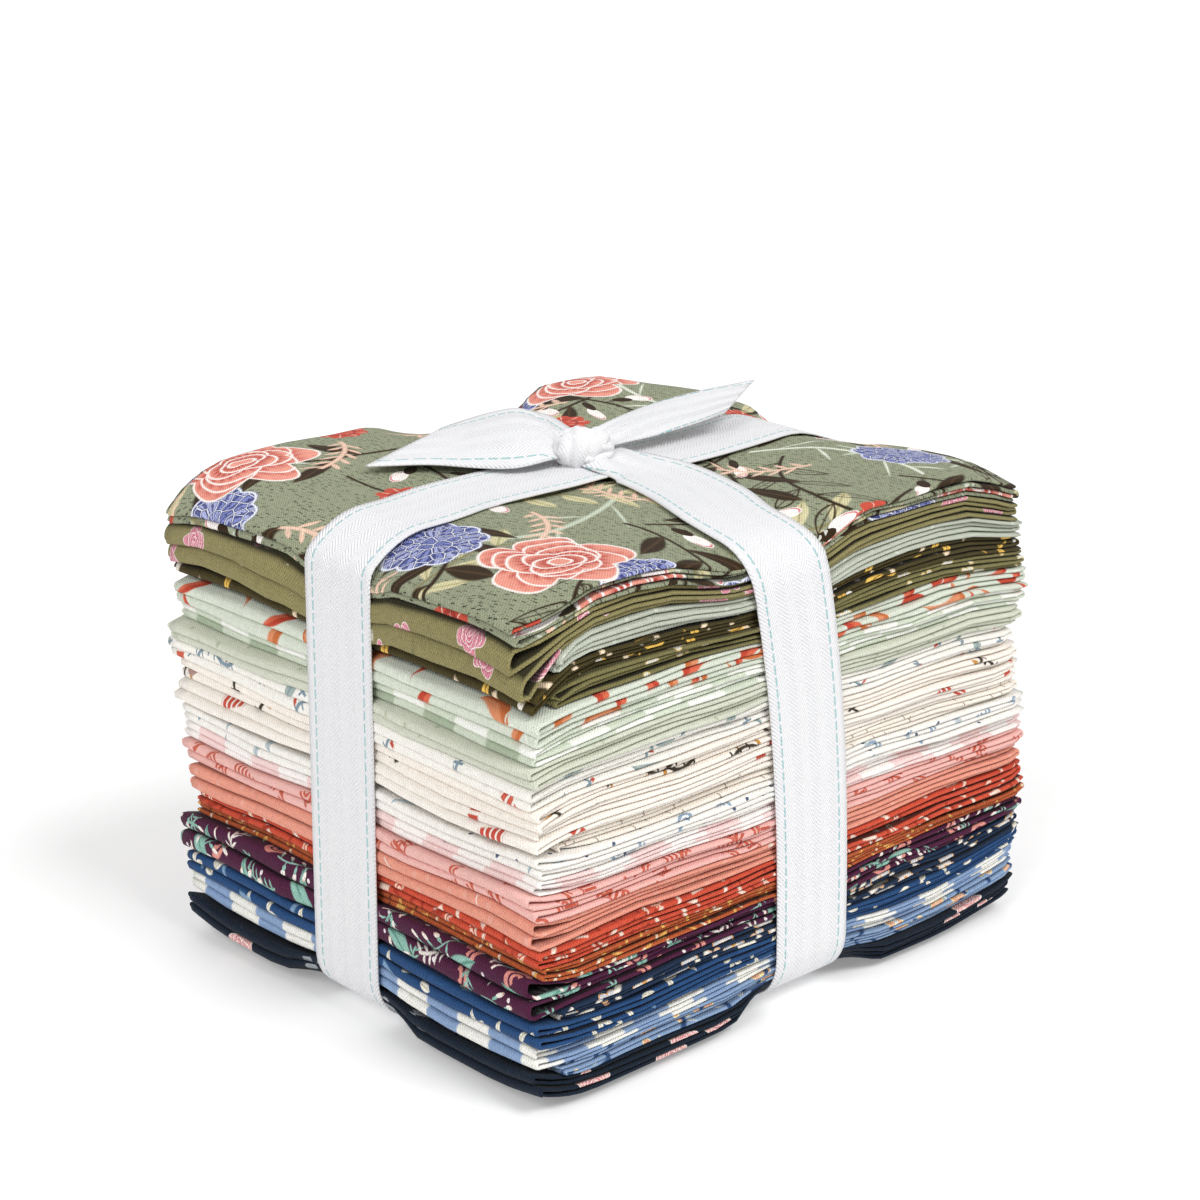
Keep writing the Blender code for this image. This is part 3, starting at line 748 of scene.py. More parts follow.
class Value:
    """A number that nodes work out."""

    def __init__(self, socket):
        self.socket = socket

    def work(self, operation, *others, clamp=False):
        inputs = enumerate((self, *others))
        settings = {"operation": operation, "use_clamp": clamp}
        return Value(outputs_of(self.socket.id_data, "ShaderNodeMath", inputs, **settings)[0])

    def __rsub__(self, other):
        return self.work("MULTIPLY_ADD", -1.0, other)

    def inside(self, softness=0.06):
        """1 where the value is below 0, with a soft edge."""
        return self.work("MULTIPLY_ADD", -1.0 / softness, 0.5, clamp=True)

    __add__ = __radd__ = partialmethod(work, "ADD")
    __sub__ = partialmethod(work, "SUBTRACT")
    __mul__ = __rmul__ = partialmethod(work, "MULTIPLY")
    __abs__ = partialmethod(work, "ABSOLUTE")
    sin = partialmethod(work, "SINE")
    cos = partialmethod(work, "COSINE")
    fraction = partialmethod(work, "FRACT")
    smallest = partialmethod(work, "MINIMUM")
    largest = partialmethod(work, "MAXIMUM")
    below = partialmethod(work, "LESS_THAN")
    above = partialmethod(work, "GREATER_THAN")


def vector_math(operation, a, b):
    inputs = {0: a, 1: b}
    return outputs_of(a.id_data, "ShaderNodeVectorMath", inputs, operation=operation)[0]


def parts_of(vector):
    parts = outputs_of(vector.id_data, "ShaderNodeSeparateXYZ", {0: vector})
    return [Value(part) for part in parts]


def combined(*values):
    return outputs_of(values[0].socket.id_data, "ShaderNodeCombineXYZ", enumerate(values))[0]


def turned(vector, angle):
    inputs = {"Vector": vector, "Angle": angle}
    return outputs_of(vector.id_data, "ShaderNodeVectorRotate", inputs, rotation_type="Z_AXIS")[0]


def noise(vector, scale, detail=2.0):
    inputs = {"Vector": vector, "Scale": scale, "Detail": detail}
    return Value(outputs_of(vector.id_data, "ShaderNodeTexNoise", inputs)["Fac"])


def cells_of(vector, scale, randomness, feature="F1"):
    """Random cells in a plane."""
    inputs = {"Vector": vector, "Scale": scale, "Randomness": randomness}
    settings = {"voronoi_dimensions": "2D", "feature": feature}
    return outputs_of(vector.id_data, "ShaderNodeTexVoronoi", inputs, **settings)


def attribute(tree, name):
    return outputs_of(tree, "ShaderNodeAttribute", attribute_name=name)


def channels(code):
    """The three numbers, up to 255, of a hexadecimal sRGB colour."""
    return [int(code[start : start + 2], 16) for start in (0, 2, 4)]


def linear(code):
    """Linear RGBA of a hexadecimal sRGB colour."""
    parts = [channel / 255.0 for channel in channels(code)]
    return *(p / 12.92 if p <= 0.04045 else ((p + 0.055) / 1.055) ** 2.4 for p in parts), 1.0


class Paint:
    """A colour that is painted over, one mask after another."""

    def __init__(self, tree, code):
        self.tree = tree
        self.colour = linear(code)

    def blend(self, blend_type, mask, colour):
        inputs = {0: mask, 6: self.colour, 7: colour}
        settings = {"data_type": "RGBA", "blend_type": blend_type}
        self.colour = outputs_of(self.tree, "ShaderNodeMix", inputs, **settings)[2]

    def over(self, mask, code):
        self.blend("MIX", mask, linear(code))

    def shade(self, tone):
        """Makes the colour lighter or darker."""
        self.blend("MULTIPLY", 1.0, combined(tone, tone, tone))


def new_material(name):
    material = bpy.data.materials.new(name)
    material.use_nodes = True
    return material, material.node_tree


# The shader's numbers, with the strength of the relief and its height in millimetres
Finish = namedtuple("Finish", "roughness specular sheen sheen_roughness strength relief")
COTTON = Finish(0.86, 0.14, 0.05, 0.5, 0.8, 0.10)
TWILL = Finish(0.7, 0.3, 0.15, 0.4, 0.7, 0.12)


def finish_surface(tree, colour, height, finish):
    inputs = {"Strength": finish.strength, "Distance": finish.relief * MM, "Height": height}
    inputs = {
        "Base Color": colour,
        "Roughness": finish.roughness,
        "Specular IOR Level": finish.specular,
        "Sheen Weight": finish.sheen,
        "Sheen Roughness": finish.sheen_roughness,
        "Normal": outputs_of(tree, "ShaderNodeBump", inputs)[0],
    }
    plug_all(tree.nodes["Principled BSDF"], inputs)


# Motifs: each gives masks, in the order in which they are painted, with the number of a colour.
# x and y are counted from the motif's middle, in the motif's own size, and so are the numbers.
# The dice are three random numbers from 0 to 1
def polar(x, y):
    return (x * x + y * y).work("SQRT"), y.work("ARCTAN2", x)


def line(off, half):
    """Below 0 in a line."""
    return abs(off) - half


def box(x, y, half_x, half_y):
    """Below 0 in a box."""
    return line(x, half_x).largest(line(y, half_y))


def bars(x, count, half, shift=0.0):
    """Below 0 in even bars."""
    return line((x * count + shift).fraction() - 0.5, half)


def flower(x, y, dice):
    radius, turn = polar(x, y)
    petals = abs((turn * 2.5).cos()) * 0.36 + 0.62
    veins = abs((turn * 10.0).sin()) * 0.5 + radius - 0.78
    return [
        ((radius - petals).inside(), 0),
        (line(radius - petals + 0.05, 0.05).inside(), 1),
        ((radius - petals + 0.1).inside() * (veins * -1.0).inside(0.2) * 0.6, 2),
        ((radius - 0.2).inside(), 1),
    ]


# Rings of petals of a rose, from the middle out: their radius, how many petals and their start
RINGS = (
    (0.15, 2.0, 0.3),
    (0.30, 2.0, 1.4),
    (0.46, 3.0, 0.2),
    (0.62, 3.0, 1.1),
    (0.79, 4.0, 0.7),
    (0.97, 5.0, 0.1),
)


def rose(x, y, dice):
    """Rings of petals: a pale line round each, a shadow outside the line, strokes in the shadow."""
    radius, turn = polar(x + (y * 5.0 + dice[2] * 9.0).sin() * 0.06, y + (x * 6.0).sin() * 0.05)
    turn = turn + dice[2] * 6.283
    bodies = [
        radius - (abs((turn * (count / 2) + start).sin()) * 0.34 + 0.72) * ring
        for ring, count, start in RINGS
    ]
    shades = [body.above(0.0) * (1.5 - body * 7.5).largest(0.0).smallest(1.0) for body in bodies]
    shade = reduce(Value.largest, shades)
    lines = reduce(Value.smallest, map(abs, bodies))
    strokes = (turn * 26.0 + radius * 9.0).sin() * 0.3 + 0.7
    petals = bodies[-1].inside(0.03)
    return [
        (petals, 0),
        (petals * shade * strokes * (1.3 - radius * 0.9), 2),
        ((lines - 0.020).inside(0.028) * (bodies[-1] - 0.05).inside(), 1),
    ]


FLORETS = 4.4
FLORET_RANDOMNESS = 0.8


def blossom(x, y, dice):
    """A head of many florets with pale rims and dark eyes."""
    radius, turn = polar(x, y)
    body = radius - (abs((turn * 4.5).sin()) * 0.12 + 0.82)
    place = combined(x + dice[2] * 40.0, y)
    edges = Value(cells_of(place, FLORETS, FLORET_RANDOMNESS, "DISTANCE_TO_EDGE")["Distance"])
    florets = cells_of(place, FLORETS, FLORET_RANDOMNESS)
    tone = parts_of(florets["Color"])[0]
    eyes = Value(florets["Distance"]) - 0.09
    strokes = (turn * 23.0 + tone * 9.0).sin()
    inside = body.inside()
    return [
        (inside, 0),
        (inside * tone.above(0.55), 2),
        (inside * strokes.above(0.35) * 0.8, 3),
        (inside * (edges - 0.115).inside(), 3),
        (inside * (edges - 0.040).inside(), 1),
        (line(body + 0.02, 0.020).inside(0.03), 1),
        (inside * eyes.inside(), 3),
    ]


def carnation(x, y, dice):
    """A small frilled flower on its stem."""
    radius, turn = polar(x, y)
    frill = radius - (abs((turn * 4.0).sin()) * 0.18 + 0.78)
    veins = line((turn * 4.5 + 0.7).sin(), 0.16).largest(0.25 - radius)
    stem = line(y - x * x * 0.08, 0.07).largest(0.7 - x).largest(x - 2.6)
    return [
        (stem.inside(), 3),
        (frill.inside(), 0),
        (veins.largest(frill + 0.08).inside(), 1),
        (line(radius - 0.5, 0.05).inside() * 0.7, 2),
    ]


def leafy(x, y, leaf_width, leaf_length, pitch, stem=0.022, bend=0.28):
    """A bent stem with leaves along both of its sides: below 0 in the stem and in the leaves, and
    a place in its leaf for each point, across and along it, with a limit at the stem's ends."""
    off = y - x * x * bend + bend / 2
    beside = abs(off)
    shift = off.above(0.0) * 0.5
    row = (x - beside * 0.75) * pitch + shift
    number = row.work("ROUND")
    from_leaf = (row - number) * (1.0 / pitch)
    along = beside * (1.0 / leaf_length)
    half = (along - along * along) * (4.0 * leaf_width)
    ends = line((number - shift) * (1.0 / pitch), 0.85)
    leaves = (abs(from_leaf) - half).largest(along - 1.0).largest(ends)
    stems = (beside - stem).largest(line(x, 1.0))
    return stems, leaves, from_leaf, along, ends


def spray(x, y, dice):
    stems, leaves, from_leaf, *_ = leafy(x, y, 0.105, 0.52, 2.3)
    ribs = line(from_leaf, 0.012).largest(leaves)
    return [(leaves.inside(0.03), 0), (ribs.inside(0.02), 1), (stems.inside(0.02), 2)]


def outlined(x, y, dice):
    stems, leaves, from_leaf, *_ = leafy(x, y, 0.11, 0.5, 1.9, bend=-0.3)
    ribs = line(from_leaf, 0.008).largest(leaves)
    return [(part.inside(0.02), 0) for part in (line(leaves + 0.014, 0.014), ribs, stems)]


def stalk(x, y, dice):
    stems, leaves, *_ = leafy(x, y, 0.022, 0.45, 1.3, stem=0.030, bend=0.45)
    return [(stems.smallest(leaves).inside(0.03), 0)]


def fern(x, y, dice):
    stems, leaves, *_ = leafy(x, y, 0.065, 0.38, 3.0, stem=0.055)
    return [(leaves.smallest(stems).inside(0.05), 0)]


def buds(x, y, dice):
    """Pale buds with a coloured rim, each in a dark cup on its stalk."""
    stems, _, from_leaf, along, ends = leafy(x, y, 0.10, 0.50, 1.9)

    def oval(middle, length, width):
        far, off = (along - middle) * (1.0 / length), from_leaf * (1.0 / width)
        return far * far + off * off - 1.0

    bud = oval(0.76, 0.26, 0.095)
    cup = oval(0.38, 0.19, 0.070)
    stalks = line(from_leaf, 0.014).largest(along - 0.5)
    return [
        (bud.largest(ends).inside(0.1), 1),
        (line(bud + 0.30, 0.14).largest(0.86 - along).largest(ends).inside(0.1), 0),
        (cup.smallest(stalks).largest(ends).inside(0.05), 2),
        (stems.inside(0.02), 2),
    ]


def leaf(x, y, dice):
    bent = y - x * x * 0.3
    blade = abs(bent) - (1.0 - x * x) * 0.3
    return [(blade.inside(), 0), (line(bent, 0.035).largest(blade).inside(0.05), 1)]


def crescent(x, y, dice):
    """A long, bent leaf, darker along one half."""
    bent = y - x * x * 0.6 + 0.3
    blade = abs(bent) - (1.0 - x * x) * 0.24
    return [(blade.inside(), 0), (blade.largest(bent).inside(), 1)]


def leaf_pair(x, y, dice):
    side = abs(y)
    along = x * 0.8 + side * 0.6 - 0.45
    across = side * 0.8 - x * 0.6
    blade = abs(across) - (0.25 - along * along) * 0.75
    return [(blade.inside(), 0), (line(across, 0.03).largest(blade).inside(0.05), 1)]


def arcs(x, y, dice):
    radius, _ = polar(x, y)
    rings = line(radius - 0.8, 0.16).smallest(line(radius - 0.35, 0.12))
    return [(rings.largest(x * -1.0).inside(), 0)]


def comb(x, y, dice):
    """A row of short bars along a line."""
    teeth = bars(x, 3.0, 0.26).largest(box(x, y, 1.0, 0.42))
    return [(teeth.smallest(box(x, y + 0.5, 1.0, 0.07)).inside(0.1), 0)]


def dash(x, y, dice):
    return [(box(x, y, 1.0, 0.24).inside(0.2), 0)]


def dot(x, y, dice):
    return [(((x * x + y * y) - 1.0).inside(0.5), 0)]


def blocks(x, y, dice):
    return [(bars(x, 2.2, 0.34).largest(box(x, y, 1.0, 0.42)).inside(0.1), 0)]


def twig(x, y, dice):
    bent = y - (x * 3.4).sin() * 0.2
    stem = box(x, bent, 1.0, 0.045)
    thorns = bars(x, 4.0, 0.10).largest(box(x, bent, 0.95, 0.16))
    seeds = bars(x, 2.0, 0.09, 0.3).largest(box(x, bent - 0.16, 0.9, 0.08))
    return [(stem.smallest(thorns).inside(0.03), 0), (seeds.inside(0.05), 1)]


# A layer of print: a motif in the cells of a loose grid, in millimetres. Looseness is how far the
# motifs stray from the grid, spin the share of a full turn that they take, and patchy leaves
# some places of the cloth bare
Layer = namedtuple(
    "Layer",
    "motif colours cell size share seed looseness spin patchy",
    defaults=(1.0, 0, 0.5, 1.0, False),
)
# How far each layer's grid is moved and turned against the others, by its seed
GRID_SHIFT = (13.7, 7.9)
GRID_TURN = (0.35, 0.61)
PATCH_SCALE = 0.14
PATCH_CONTRAST = 2.4


def print_layer(paint, cloth, row):
    """Paints one layer of motifs, each turned its own way."""
    offset = (row.seed * GRID_SHIFT[0], row.seed * GRID_SHIFT[1], 0.0)
    turn = (GRID_TURN[0] + GRID_TURN[1] * row.seed) * row.spin
    moved = turned(vector_math("ADD", cloth, offset), turn)
    cells = cells_of(moved, 1.0 / row.cell, row.looseness)
    away = vector_math("SUBTRACT", moved, cells["Position"])
    dice = parts_of(cells["Color"])
    local = parts_of(turned(away, dice[0] * (6.283 * row.spin)))
    x, y = (part * (1.0 / row.size) for part in local[:2])
    shown = dice[1].below(row.share) if row.share < 1.0 else None
    if row.patchy:
        shown = dice[1].below((noise(cloth, PATCH_SCALE) - 0.5) * PATCH_CONTRAST + row.share)
    colours = row.colours.split()
    for mask, number in row.motif(x, y, dice):
        paint.over(mask * shown if shown else mask, colours[number])


# The checks' lines fall so that a light stripe runs along the folds of the cloth
CHECK_PITCH = FLAT_WIDTH / 24


def gingham(paint, cloth, light, middle):
    """Even checks: the paint's own colour where both stripes are dark."""
    x, y, _ = parts_of(cloth)
    stripe_x = bars(x, 1.0 / CHECK_PITCH, 0.25).inside(0.03)
    stripe_y = bars(y, 1.0 / CHECK_PITCH, 0.25, 0.5).inside(0.03)
    paint.over(1.0 - stripe_x * stripe_y, middle)
    paint.over(1.0 - stripe_x.largest(stripe_y), light)


WEAVE_PITCH = 0.70
THREAD_WANDER = 0.5
WANDER_SCALE = 0.5
# Slubs are short and thick: how often they come across a thread and along it
SLUB_SCALES = (3.6, 0.45)
# How much the threads and the slubs count in the weave's height, and the threads in its tone
THREAD_HEIGHT = 0.9
SLUB_HEIGHT = 1.6
THREAD_TONE = 0.42


def weave(cloth):
    """Height and tone of a plain weave: crossing threads, each a little uneven."""
    wander = noise(cloth, WANDER_SCALE) * THREAD_WANDER
    threads, slubs = 1.0, -1.0
    for place, scales in zip(parts_of(cloth), (SLUB_SCALES, SLUB_SCALES[::-1])):
        threads = ((place + wander) * (2 * math.pi / WEAVE_PITCH)).sin() * threads
        slubs = noise(vector_math("MULTIPLY", cloth, (*scales, 1.0)), 1.0) + slubs
    return threads * THREAD_HEIGHT + slubs * SLUB_HEIGHT, slubs + threads * THREAD_TONE


# Painted shade in the grooves between the folds: how much darker it paints the cloth there, and
# the lightness of the cloth from which that fades and at which it has faded
PAINTED_GROOVE_SHADE = 0.88
DARK_GROUND = 0.50
PALE_GROUND = 0.76
# How much the threads and slubs show, with what is added on dark cloth, and how cloudy the dye is
GRAIN = 0.27
DARK_GRAIN = 0.40
CLOUD_SCALE = 0.045
CLOUDS = 0.10
# How far the wrong side of a print fades to a pale grey
WRONG_SIDE_FADE = 0.62
WRONG_SIDE_TONE = 244


# How deep the painted groove shade is on a cloth: full on dark cloth, none on pale cloth
def painted_groove_shade(codes):
    mean = sum(sum(channels(code)) for code in codes) / (3 * 255 * len(codes))
    share = (PALE_GROUND - mean) / (PALE_GROUND - DARK_GROUND)
    return PAINTED_GROOVE_SHADE * min(1.0, max(0.0, share))


def faded(code):
    """The paler colour of a print's wrong side."""
    parts = (mix(part, WRONG_SIDE_TONE, WRONG_SIDE_FADE) for part in channels(code))
    return "".join(f"{round(part):02x}" for part in parts)


def cotton(name, ground, rows=(), checks=()):
    """Printed quilting cotton, matt with a faint sheen, with painted shade between its folds."""
    material, tree = new_material(name)
    cloth = attribute(tree, "cloth")["Vector"]
    paint = Paint(tree, ground)
    if checks:
        gingham(paint, cloth, *checks)
    for row in rows:
        print_layer(paint, cloth, row)
    height, grain = weave(cloth)
    clouds = noise(cloth, CLOUD_SCALE, 3.0) - 0.5
    # Painted shade in the grooves between the folds, deeper on dark cloth, with clouds and grain
    groove_shade = Value(attribute(tree, "groove_shade")["Fac"])
    darkness = painted_groove_shade((ground, *checks))
    tone = 1.0 + clouds * CLOUDS + grain * (GRAIN + DARK_GRAIN * darkness)
    paint.shade(tone * (1.0 - groove_shade * darkness))
    finish_surface(tree, paint.colour, height, COTTON)
    return material


def fabric(ground, *rows, checks=()):
    return ground, rows, checks


BROWN = "33230f"
PRINTS = {
    "sage_floral": fabric(
        "93987e",
        Layer(dash, "45473a", 1.75, 0.50, 0.80, 1, 0.9, 0.04, True),
        Layer(dash, "393b2c", 1.2, 0.26, 0.60, 8, 0.9, 0.04, True),
        Layer(stalk, "c9d2be", 54, 25, 0.5, 12, 0.35),
        Layer(spray, "d2caa0 a9a274 8a8560", 48, 19, 0.6, 13, 0.35),
        Layer(outlined, BROWN, 56, 20, 0.6, 14, 0.35),
        Layer(spray, f"{BROWN} 4c3720 {BROWN}", 50, 25, 0.75, 3, 0.35),
        Layer(stalk, "e2e6d6", 60, 20, 0.4, 17, 0.35),
        Layer(buds, f"d98488 fbf3ee {BROWN}", 50, 22, 0.85, 4, 0.35),
        Layer(fern, "edc7b0", 33, 10, 0.6, 2),
        Layer(carnation, f"c8503e f0bfae 8f2c26 {BROWN}", 44, 6.4, 0.55, 9, 0.35),
        Layer(blossom, "a9afd8 eef0f6 7f88c0 2d3470", 50, 11.5, 0.7, 5, 0.35),
        Layer(rose, "ec9c8a fef3ec b23a32", 64, 15, 0.8, 6, 0.3),
    ),
    "khaki_rose": fabric(
        "8d8559",
        Layer(rose, "dd93a0 f5e3e0 c25f78", 20, 3.9, 0.8, 1),
        Layer(dash, "6e7350", 12, 1.4, 0.5, 2),
    ),
    "grey_back": fabric("bfc4b5", Layer(dot, "d6dbcc", 5, 0.5, 0.6, 1)),
    "dark_olive": fabric(
        "463d1e",
        Layer(leaf, "efc25c 8a6a34", 8.5, 3.6, 0.7, 1),
        Layer(dash, "f3dcbc", 7, 2.4, 0.5, 2),
        Layer(dot, "f5f0e4", 6.5, 0.8, 0.5, 3),
    ),
    "olive_sprig": fabric(
        "7b754b",
        Layer(flower, "f4f1e4 d9b55c c9c6a8", 11, 2.6, 0.6, 1),
        Layer(dash, "55522f", 8, 1.8, 0.5, 2),
    ),
    "mint_leaf": fabric(
        "d9dfd0",
        Layer(crescent, "dc8f66 c9703f", 15, 7.4, 0.65, 1, 0.35),
        Layer(crescent, "d9694c c14630", 15.5, 6.8, 0.5, 2, 0.35),
        Layer(stalk, "e9ece0", 19, 7, 0.8, 3, 0.35),
    ),
    "mint_gingham": fabric("abb8a0", checks=("f4f5ee", "d2dac8")),
    "light_sage": fabric("d2d5c4", Layer(dot, "b9bfa8", 5, 0.5, 0.5, 1)),
    "white_floral": fabric(
        "f6f3ec",
        Layer(twig, "8296a3 c4503c", 21, 8, 0.7, 1, 0.4),
        Layer(blocks, "d0604c", 15, 3.2, 0.6, 2),
        Layer(leaf, "a3b2ae 7f949c", 13, 4.2, 0.6, 3),
    ),
    "cream_branch": fabric(
        "f7efe5",
        Layer(twig, "3b3226 c98f3e", 25, 10, 0.7, 1, 0.4),
        Layer(arcs, "b08f86", 15, 2.2, 0.4, 2),
    ),
    "cream_stamp": fabric(
        "f7f0e7",
        Layer(blocks, "c8503f", 21, 3.4, 0.7, 1),
        Layer(dash, "a39a8e", 9, 1, 0.3, 2),
    ),
    "cream_fine": fabric(
        "f5ede2",
        Layer(dash, "a99e90", 3.2, 0.8, 0.4, 1, 0.6, 0.05),
        Layer(dash, "8e8579", 4.6, 0.6, 0.4, 2, 0.6, 0.05),
    ),
    "white_dot": fabric(
        "f5f2ec",
        Layer(dot, "4a5a78", 6, 0.45, 0.5, 1),
        Layer(arcs, "8fa6bc", 11, 2.4, 0.5, 2),
        Layer(leaf, "c1ccd0 9aacb6", 12, 3.4, 0.5, 3),
    ),
    "pink_gingham": fabric("ecb9b6", checks=("faf4f0", "f4d8d5")),
    "pink_loop": fabric(
        "edb9b1",
        Layer(comb, "c15843", 10.5, 3.6, 0.7, 1, 0.3),
        Layer(arcs, "c9634e", 10, 2.2, 0.5, 2, 0.3),
    ),
    "coral": fabric(
        "e69b86",
        Layer(dot, "e9a896", 3, 0.6, 0.5, 1),
        Layer(spray, "f2e3d6 e3b7a4 f2e3d6", 24, 7.5, 0.7, 2, 0.35),
    ),
    "tomato": fabric(
        "cc5038",
        Layer(dash, "f4ddcb", 4.4, 1.8, 0.5, 1),
        Layer(dash, "a83a26", 4, 1.6, 0.5, 2),
        Layer(arcs, "f0c9b4", 6.5, 1.7, 0.5, 3),
    ),
    "rust": fabric(
        "b65a33",
        Layer(dash, "e5b05e", 3.4, 1.3, 0.6, 1),
        Layer(dash, "f0dcc0", 4.6, 1.2, 0.4, 3),
        Layer(dash, "7c391e", 4.4, 1.3, 0.5, 2),
    ),
    "plum": fabric(
        "4c1b3a",
        Layer(arcs, "dc9186", 11, 3.2, 0.6, 1, 0.35),
        Layer(leaf, "8fbcae 5c9283", 17, 6.6, 0.6, 2, 0.4),
        Layer(fern, "8fbcae", 17, 4.6, 0.5, 7, 0.35),
        Layer(fern, "efe6df", 13.5, 5.2, 0.4, 5, 0.35),
        Layer(buds, "c77c62 f4ece4 8fbcae", 15, 6, 0.8, 4, 0.35),
        Layer(dot, "efe4e6", 4.6, 0.40, 0.3, 3),
    ),
    "navy_floral": fabric(
        "1c2f4a",
        Layer(flower, "f0e2d6 e0a868 9ab4c8", 9, 3.2, 0.7, 1, 0.4),
        Layer(leaf, "6f90ac 3c6488", 8, 3.2, 0.6, 2),
        Layer(dash, "f6f0e2", 6, 2.5, 0.55, 3),
    ),
    "blue_leaf": fabric(
        "254a78",
        Layer(leaf_pair, "f1ecdc b9b4a2", 7.2, 3.2, 0.75, 1, 0.3, 0.2),
        Layer(dash, "7fa0c0", 8, 2, 0.4, 2),
    ),
    "blue_gingham": fabric("46699a", checks=("f2f1ea", "8ba4c8")),
    "sky_floral": fabric(
        "8aa3c4",
        Layer(flower, "f0c6a6 f3e6a8 d98f6a", 11, 3, 0.5, 1, 0.4),
        Layer(leaf, "f6f4ec b9c7b0", 8, 3.4, 0.75, 2),
        Layer(dash, "2c4c78", 6, 2.4, 0.6, 3),
    ),
    "midnight": fabric(
        "13202f",
        Layer(rose, "ebc0b8 f8efe8 c9586a", 23, 4.2, 0.6, 1),
        Layer(leaf, "6f8a94 48626e", 19, 2.8, 0.5, 2),
    ),
}


def add_cloths():
    """Lays the cuts from the bottom one up, and gives the name of the top one."""
    below = None
    for index in reversed(range(len(CUTS))):
        cut = CUTS[index]
        ground, rows, checks = PRINTS[cut.name]
        grid, groove_shades = cloth_sheet(index)
        cloth = np.meshgrid(lengths_along(grid, 1), lengths_along(grid, 0))
        cloth = np.stack(cloth, axis=2).reshape(-1, 2)
        points = pressed_by(SHORT_BAND, pressed_by(LONG_BAND, grid.reshape(-1, 3)))
        faces = grid_faces(*grid.shape[:2])
        obj = mesh_from(f"cloth_{index + 1:02d}_{cut.name}", points, faces, cloth)
        # How much painted shade each point gets in the grooves between the folds
        groove_shade = obj.data.attributes.new("groove_shade", "FLOAT", "POINT")
        groove_shade.data.foreach_set("value", groove_shades.astype(np.float32).ravel())
        obj.data.materials.append(cotton(cut.name, ground, rows, checks))
        obj.data.materials.append(cotton(f"{cut.name}_back", faded(ground)))
        thicken(obj, CLOTH_THICKNESS, 1)
        node = f"fat_quarter_{index + 1:02d}"
        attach(obj, "root")
        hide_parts(node)
        below = obj.name
    return below


# The least share of the tape's width that shows where it's drawn in, and what shows beyond the
# width that is left
LEAST_SHOWN = 0.3
SHOWN_BEYOND = 0.08


class Tape:
    """Collects strips of ribbon as one mesh; a point's place on the tape is kept with it."""

    def __init__(self):
        self.points = []
        self.faces = []
        self.cloth = []
        self.count = 0

    def strip(self, grid, start):
        """grid[station, place across] of points; start is how far along the tape it begins. Where
        the tape is drawn in, its edges are turned under and don't show."""
        rows, columns = grid.shape[:2]
        along = start + lengths_along(grid, 0)
        chord = np.linalg.norm(grid[:, -1] - grid[:, 0], axis=1)
        shown = np.clip(chord / RIBBON_WIDTH + SHOWN_BEYOND, LEAST_SHOWN, 1.0) * RIBBON_WIDTH / 2
        across = np.outer(shown, np.linspace(-1.0, 1.0, columns))
        cloth = np.stack((across, np.tile(along[:, None], columns)), axis=2)
        self.points.append(grid.reshape(-1, 3))
        self.faces.append(grid_faces(rows, columns) + self.count)
        self.cloth.append(cloth.reshape(-1, 2))
        self.count += rows * columns
        return along[-1]


ACROSS = np.linspace(-1.0, 1.0, 17)
BAND_PLEATS = 2.5


def swept(centres, ways, widths, pleat_depth, droop):
    """Points of a strip with the given centres and outward ways, drawn together into pleats."""
    tangents = unit(np.gradient(centres, axis=0))
    ways = unit(ways - (ways * tangents).sum(axis=1)[:, None] * tangents)
    sideways = np.cross(tangents, ways)
    wave = np.cos(math.pi * BAND_PLEATS * (ACROSS + 1.0))
    offset = sideways[:, None, :] * (ACROSS[None, :] * widths[:, None] / 2)[:, :, None]
    height = pleat_depth[:, None] * wave[None, :] - droop[:, None] * (ACROSS**2)[None, :]
    return centres[:, None, :] + offset + ways[:, None, :] * height[:, :, None]


# How a band is drawn in at the knot: its share of the full width, over which length, how far it
# rises to the knot and how deep it is pleated
Gather = namedtuple("Gather", "width length lift pleat")
FRONT_GATHER = Gather(0.62, 15.0, 2.8, 0.5)
BACK_GATHER = Gather(0.42, 26.0, 0.3, 0.4)
LEFT_GATHER = Gather(0.96, 12.0, 0.3, 0.08)
RIGHT_GATHER = Gather(0.88, 16.0, 0.5, 0.15)
# How far from the knot the pleats end, as a share of that length, how far a band stays level
# there, and how much of its rise its edges droop
PLEAT_SHARE = 1.2
LEVEL_LENGTH = 1.5
DROOP_SHARE = 0.5
SHORT_BAND_START = 2.0


def wind(tape, band, knot_at, first, last, start):
    """One band round the stack, from the knot back to the knot; first and last say how it
    narrows and rises there."""
    loop = band.loop[:-1]
    top = loop[:, 1] > MIDDLE_TOP / 2
    nearest = np.argmin(np.where(top, np.abs(loop[:, 0] - knot_at), math.inf))
    loop = np.roll(loop, -nearest, axis=0)
    loop = np.concatenate((loop, loop[:1]))
    centres = band.place(loop[:, 0], loop[:, 1])
    ways = np.zeros_like(centres)
    ways[:, [band.axis, 2]] = loop[:, 2:]
    length = lengths_along(centres[:, None, :], 0)
    widths = np.full(len(loop), RIBBON_WIDTH)
    depth = np.zeros(len(loop))
    droop = np.zeros(len(loop))
    for gather, distance in ((first, length), (last, length[-1] - length)):
        widths *= mix(gather.width, 1.0, smooth_step(distance, 0.0, gather.length))
        depth += gather.pleat * (1.0 - smooth_step(distance, 0.0, PLEAT_SHARE * gather.length))
        rise = gather.lift * (1.0 - smooth_step(distance, LEVEL_LENGTH, gather.length))
        centres[:, 2] += rise
        droop += DROOP_SHARE * rise
    return tape.strip(swept(centres, ways, widths, depth, droop), start)


